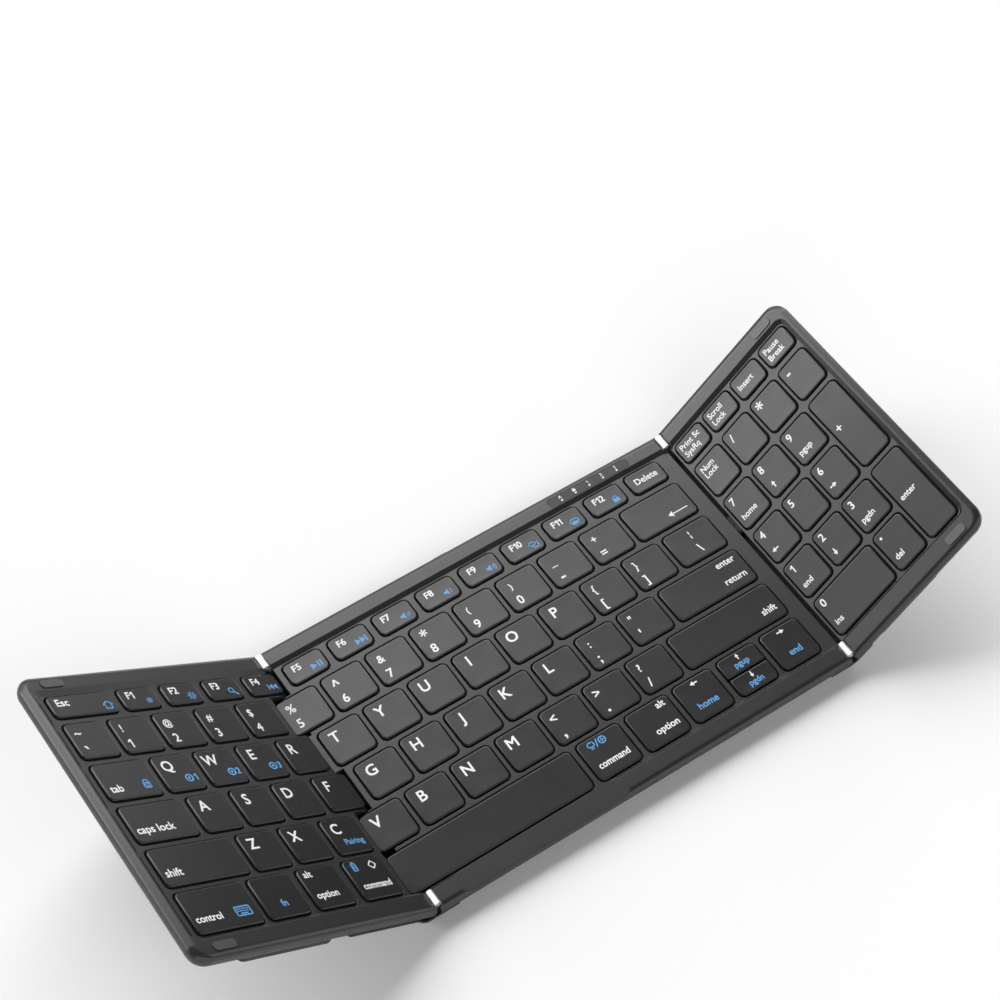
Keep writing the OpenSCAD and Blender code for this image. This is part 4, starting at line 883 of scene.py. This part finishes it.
def carriers(node_name, panel, keys):
    """The domes and links of one row."""
    domes, links = bmesh.new(), bmesh.new()
    for x0, x1, y0, y1 in [k[:4] for k in keys]:
        depth = min(LINK, y1 - y0 - 2 * CAP_SKIRT - 2 * SKIRT_GAP)
        x, y, w = (x0 + x1) / 2, (y0 + y1) / 2, x1 - x0
        dome(domes, x, y, min(DOME_R, depth / 2 - 2 * LINK_BAR - 2 * LINK_GAP))
        for at in ((x - w / 4, x + w / 4) if w > TWO_LINKS else (x,)):
            link_frame(links, at, y, depth, LINK_TILT)
            link_frame(links, at, y, depth - 2 * LINK_BAR - 2 * LINK_GAP, -LINK_TILT)
    for bm, kind, slot_name, smooth in ((domes, "domes", "dome_rubber", True),
                                        (links, "scissors", "link_plastic", False)):
        name = "%s_%s" % (node_name, kind)
        ob = add_object(name, finish_mesh(bm, name, PLACE[panel]), panel, slot_name, smooth=smooth)
        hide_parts("%s_%s" % (OWNER[panel], kind))
        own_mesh(ob)


def build_keys():
    for side, panel, table, printer in (("left", "left_wing", LEFT, print_left),
                                        ("centre", "middle_panel", CENTRE, print_centre),
                                        ("pad", "right_wing", PAD, print_pad)):
        for row, keys in table.items():
            if row == "space":
                node_name, body = "space_bar", "space_bar_cap"
            elif row == "enter":
                node_name, body = "enter_key", "enter_key_cap"
            else:
                node_name = "%s_%s_keys" % (side, ROW_WORD[row])
                body = "%s_%s_row" % (side, ROW_WORD[row])
            cap_group(node_name, body, panel, keys)
            carriers(node_name, panel, keys)
            if row != "space":
                printer(row, keys).build(node_name + "_print", body, panel)


build_keys()


# ------------------------------------------------------------------ sheets shaped round the folds
COVER_T, COVER_GAP = 0.7, 0.2
COVER_MID = AXIS_UP + PANEL_T + COVER_GAP + COVER_T / 2
COVER_IN = 8.2  # how far a cover reaches under the middle panel
LEFT_WING, RIGHT_WING = 37.0, 6.8  # and under each wing
KNUCKLE_R, KNUCKLE_GAP = 8.6, 0.05
BEND_SPREAD = 5  # degrees by which the left bend is longer on the wing's side
UNDER_W, UNDER_H = 6.0, 4.95  # the rounding of the cases' lower edge
CURL = 50  # how far the sheet follows that rounding, in degrees


def hinge_axis(side):
    """A point on the fold's axis, and 1 or -1 for a wing to its left or right."""
    flip = 1 if side == "left" else -1
    return Vector((SHIFT_X - flip * HALF_SPAN, 0, REST_Z + AXIS_UP)), flip


def opening(side):
    """How far the fold is open, in degrees, with its cosine and sine."""
    a = LEFT_OPEN if side == "left" else RIGHT_OPEN
    return a, math.cos(math.radians(a)), math.sin(math.radians(a))


def bend_path(side):
    """Stations (x, z) of the sheet's middle line about a hinge axis, the wing at x < 0, and the
    numbers of the stations where the bend starts and ends."""
    a, ca, sa = opening(side)
    if side == "left":
        r = KNUCKLE_R + COVER_GAP + COVER_T / 2 + KNUCKLE_GAP
        b0 = math.degrees(math.acos(COVER_MID / r))
        b1, wing = b0 + BEND_SPREAD, LEFT_WING
    else:
        b0 = b1 = 0.0
        wing = RIGHT_WING
    flat = [(COVER_IN - (COVER_IN + COVER_MID * math.tan(math.radians(b0))) * i / 6, -COVER_MID)
            for i in range(6)]
    bend = []
    steps = 24
    for i in range(steps + 1):
        t = i / steps
        b = math.radians(b0 + (b1 - b0) * t)
        d = COVER_MID / math.cos(b)
        b += math.radians(a) * t
        bend.append((-d * math.sin(b), -d * math.cos(b)))
    reach = COVER_MID * math.tan(math.radians(b1))
    lay = []
    for i in range(1, 13):
        w = reach + (wing - reach) * i / 12
        lay.append((-w * ca - COVER_MID * sa, w * sa - COVER_MID * ca))
    return flat + bend + lay, len(flat), len(flat) + steps


def sheet_profile():
    """Half of the sheet's section across: (y, lift), from the middle outwards."""
    core = HALF_DEPTH - UNDER_W
    grow = COVER_GAP + COVER_T / 2
    flat = [(core * i / 12, 0.0) for i in range(12)]
    curl = []
    for i in range(11):
        c = math.radians(CURL * i / 10)
        curl.append((core + (UNDER_W + grow) * math.sin(c), (UNDER_H + grow) * (1 - math.cos(c))))
    return flat + curl


def thick_grid(rows, thickness):
    """A grid of points as a closed sheet of that thickness."""
    bm = bmesh.new()
    grid = [[Vector(p) for p in row] for row in rows]
    n, m = len(grid), len(grid[0])

    def normal(i, j):
        a = grid[min(i + 1, n - 1)][j] - grid[max(i - 1, 0)][j]
        b = grid[i][min(j + 1, m - 1)] - grid[i][max(j - 1, 0)]
        return a.cross(b).normalized()

    sides = []
    for s in (0.5, -0.5):
        sides.append([[bm.verts.new((grid[i][j] + normal(i, j) * thickness * s) * MM)
                       for j in range(m)] for i in range(n)])
    up, low = sides
    for i in range(n - 1):
        for j in range(m - 1):
            bm.faces.new((up[i][j], up[i + 1][j], up[i + 1][j + 1], up[i][j + 1]))
            bm.faces.new((low[i][j], low[i][j + 1], low[i + 1][j + 1], low[i + 1][j]))
    for i in range(n - 1):
        for j in (0, m - 1):
            bm.faces.new((up[i][j], low[i][j], low[i + 1][j], up[i + 1][j]))
    for j in range(m - 1):
        for i in (0, n - 1):
            bm.faces.new((up[i][j], up[i][j + 1], low[i][j + 1], low[i][j]))
    return bm


def spine_cover(side):
    path, start, end = bend_path(side)
    axis, flip = hinge_axis(side)
    half = sheet_profile()
    line = [(-y, lift) for y, lift in reversed(half[1:])] + half
    rows = []
    for i, (x, z) in enumerate(path):
        before, after = path[max(i - 1, 0)], path[min(i + 1, len(path) - 1)]
        along = Vector((after[0] - before[0], after[1] - before[1])).normalized()
        up = Vector((along.y, -along.x))
        rows.append([(axis.x + flip * (x + up.x * lift), y, axis.z + z + up.y * lift)
                     for y, lift in line])
    name = side + "_cover_sheet"
    ob = add_object(name, finish_mesh(thick_grid(rows, COVER_T), name, Matrix.Identity(4)), None,
                    "cover_sheet")
    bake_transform(ob)
    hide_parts(side + "_spine_cover")


RIBBON_Y, RIBBON_W, RIBBON_T, RIBBON_R = 12.425, 9.0, 0.25, 5.3
RIBBON_IN, RIBBON_STEP, RIBBON_WING = 9.0, 1.5, 11.0


def ribbon(side):
    a, ca, sa = opening(side)
    axis, flip = hinge_axis(side)
    path = [(RIBBON_IN - RIBBON_STEP * i, -RIBBON_R) for i in range(6)]
    for i in range(21):
        b = math.radians(a * i / 20)
        path.append((-RIBBON_R * math.sin(b), -RIBBON_R * math.cos(b)))
    for i in range(1, 7):
        w = RIBBON_WING * i / 6
        path.append((-w * ca - RIBBON_R * sa, w * sa - RIBBON_R * ca))
    rows = [[(axis.x + flip * x, RIBBON_Y + RIBBON_W * (j / 8 - 0.5), axis.z + z)
             for j in range(9)] for x, z in path]
    name = side + "_ribbon_strip"
    ob = add_object(name, finish_mesh(thick_grid(rows, RIBBON_T), name, Matrix.Identity(4)), None,
                    "film")
    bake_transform(ob)
    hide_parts(side + "_ribbon")


for fold_side in ("left", "right"):
    spine_cover(fold_side)
    ribbon(fold_side)


# ------------------------------------------------------------------ what repeats: marks in a row
def row_of_marks_tree():
    """Copies a small shape along a straight line."""
    tree, gin, gout = group("row_of_marks", [
        ("Shape", "NodeSocketObject", None),
        ("Count", "NodeSocketInt", 5),
        ("Start", "NodeSocketVector", None),
        ("Step", "NodeSocketVector", None),
        ("Finish", "NodeSocketMaterial", None),
    ], [("Geometry", "NodeSocketGeometry")], "GeometryNodeTree")
    line = node(tree, "GeometryNodeMeshLine", {
        "Count": gin.outputs["Count"], "Start Location": gin.outputs["Start"],
        "Offset": gin.outputs["Step"]})
    info = node(tree, "GeometryNodeObjectInfo", {"Object": gin.outputs["Shape"]})
    spread = node(tree, "GeometryNodeInstanceOnPoints", {
        "Points": line.outputs[0], "Instance": info.outputs["Geometry"]})
    real = node(tree, "GeometryNodeRealizeInstances", {0: spread.outputs[0]})
    paint = node(tree, "GeometryNodeSetMaterial", {
        "Geometry": real.outputs[0], "Material": gin.outputs["Finish"]})
    tree.links.new(paint.outputs[0], gout.inputs[0])
    return tree


MARKS = row_of_marks_tree()


def row_of_marks(name, shape, count, start, step, body, slot_name, paint):
    """A row of copies of a shape, made real and joined to a body. Lengths in millimetres."""
    maker = bpy.data.objects.new(name + "_maker", bpy.data.meshes.new(name + "_maker"))
    bpy.context.scene.collection.objects.link(maker)
    mod = maker.modifiers.new("row", "NODES")
    mod.node_group = MARKS
    values = {"Shape": shape, "Count": count, "Start": Vector(start) * MM,
              "Step": Vector(step) * MM, "Finish": MATS[paint]}
    for item in MARKS.interface.items_tree:
        if item.in_out == "INPUT":
            mod[item.identifier] = values[item.name]
    bpy.context.view_layer.update()
    made = maker.evaluated_get(bpy.context.evaluated_depsgraph_get())
    mesh = bpy.data.meshes.new_from_object(made)
    bpy.data.objects.remove(maker)
    add_object(name, mesh, body, slot_name, paint, smooth=False)


def small_block(name, w, d, h):
    """A block with chamfered edges, only used as the shape that a row copies."""
    bm = bmesh.new()
    c = min(w, d, h) / 4
    rings = []
    for inset, z in ((c, -h / 2), (0, -h / 2 + c), (0, h / 2 - c), (c, h / 2)):
        u, v = w / 2 - inset, d / 2 - inset
        rings.append([(x, y, z) for x, y in rounded(-u, u, -v, v, c, steps=2)])
    ring_stack(bm, rings)
    mesh = finish_mesh(bm, name, Matrix.Identity(4))
    return bpy.data.objects.new(name, mesh)


KNOB_X, KNOB_Z, KNOB_OUT = -9.4, -3.25, 0.85
RIBS, RIB_PITCH, RIB_W, RIB_D, RIB_H = 5, 0.8, 0.45, 0.3, 0.9


def switch_ribs():
    """Ribs on the slide switch's knob, flush with its outer face."""
    rib = small_block("rib", RIB_W, RIB_D, RIB_H)
    x = SHIFT_X + KNOB_X - RIB_PITCH * (RIBS - 1) / 2
    row_of_marks("switch_ribs", rib, RIBS,
                 (x, HALF_DEPTH + KNOB_OUT - RIB_D / 2, REST_Z + KNOB_Z), (RIB_PITCH, 0, 0),
                 "switch_knob", "knob_plastic", "knob_plastic")
    bpy.data.objects.remove(rib)


switch_ribs()

WINDOW_X, WINDOW_Y, LIGHT_PITCH, LIGHT_R = 53.55, 55.45, 6.2, 0.42


def window_marks():
    """Pale light spots in the indicator window, and a tiny sign behind each."""
    p = Print()
    y = WINDOW_Y - 0.85
    for i, sign in enumerate((None, "lock", None, None, None)):
        x = WINDOW_X + (i - 2) * LIGHT_PITCH
        p.shapes[WHITE].append((disc(x, y, LIGHT_R), [tuple(range(16))], 0.0))
        if sign:
            p.sign(sign, x, y + 1.6, size=0.5)
        else:
            p.word("A" if i == 0 else str(i - 1), x, y + 0.95, 1.25)
    p.build("window_marks", "middle_panel", "middle_panel", 0.0)


window_marks()


# ------------------------------------------------------------------ stage and light
FLOOR_HALF, FLOOR_DROP = 20, 0.0002  # in metres
PAPER = (0.96, 0.96, 0.96, 1)
REAR_LIGHT, FRONT_LIGHT, LEFT_LIGHT, RIGHT_LIGHT, CEILING = 4.5, 1.2, 1.3, 1.3, 0.04


def make_stage():
    """A wide sheet of paper for a floor, just under the part."""
    bm = bmesh.new()
    h = FLOOR_HALF
    bm.faces.new([bm.verts.new((x, y, 0.0)) for x, y in ((-h, -h), (h, -h), (h, h), (-h, h))])
    mesh = bpy.data.meshes.new("floor")
    bm.to_mesh(mesh)
    bm.free()
    ob = bpy.data.objects.new("floor", mesh)
    bpy.context.scene.collection.objects.link(ob)
    paper, tree, shader = material("paper", Roughness=0.9)
    shader.inputs["Base Color"].default_value = PAPER
    ob.data.materials.append(paper)
    ob.location.z = -FLOOR_DROP


def make_world():
    """A studio room: a bright wall behind the keyboard, softer lights in front of it and at
    both sides, and a dark ceiling between them."""
    world = bpy.data.worlds.new("soft_room")
    bpy.context.scene.world = world
    world.use_nodes = True
    tree = world.node_tree
    back = tree.nodes["Background"]
    back.inputs["Color"].default_value = (1, 1, 1, 1)
    way = node(tree, "ShaderNodeTexCoord").outputs["Generated"]
    axes = node(tree, "ShaderNodeSeparateXYZ", {0: way}).outputs

    def ramp(value, start, end, low, high):
        return node(tree, "ShaderNodeMapRange", {
            "Value": value, "From Min": start, "From Max": end, "To Min": low, "To Max": high},
            interpolation_type="SMOOTHSTEP").outputs[0]

    wall = math_node(tree, "MULTIPLY", ramp(axes["Y"], 0.408, 0.466, 0.0, REAR_LIGHT),
                     ramp(axes["Z"], 0.04, 0.37, 0.02, 1.0))
    wall = math_node(tree, "MULTIPLY", wall, ramp(axes["Y"], 0.6, 0.75, 1.0, 0.4))
    front = ramp(axes["Y"], -0.46, -0.62, 0.0, FRONT_LIGHT)
    left = math_node(tree, "MULTIPLY", ramp(axes["X"], -0.4, -0.7, 0.0, LEFT_LIGHT),
                     ramp(axes["Y"], 0.1, 0.3, 0.0, 1.0))
    right = math_node(tree, "MULTIPLY", ramp(axes["X"], 0.88, 0.97, 0.0, RIGHT_LIGHT),
                      ramp(axes["Y"], 0.3, 0.1, 0.0, 1.0))
    room = math_node(tree, "ADD", math_node(tree, "ADD", wall, front),
                     math_node(tree, "ADD", left, math_node(tree, "ADD", right, CEILING)))
    room = math_node(tree, "MULTIPLY", room, ramp(axes["Z"], -0.05, 0.02, 0.5, 1.0))
    tree.links.new(room, back.inputs["Strength"])


make_stage()
make_world()
bpy.context.scene.view_settings.view_transform = "Standard"
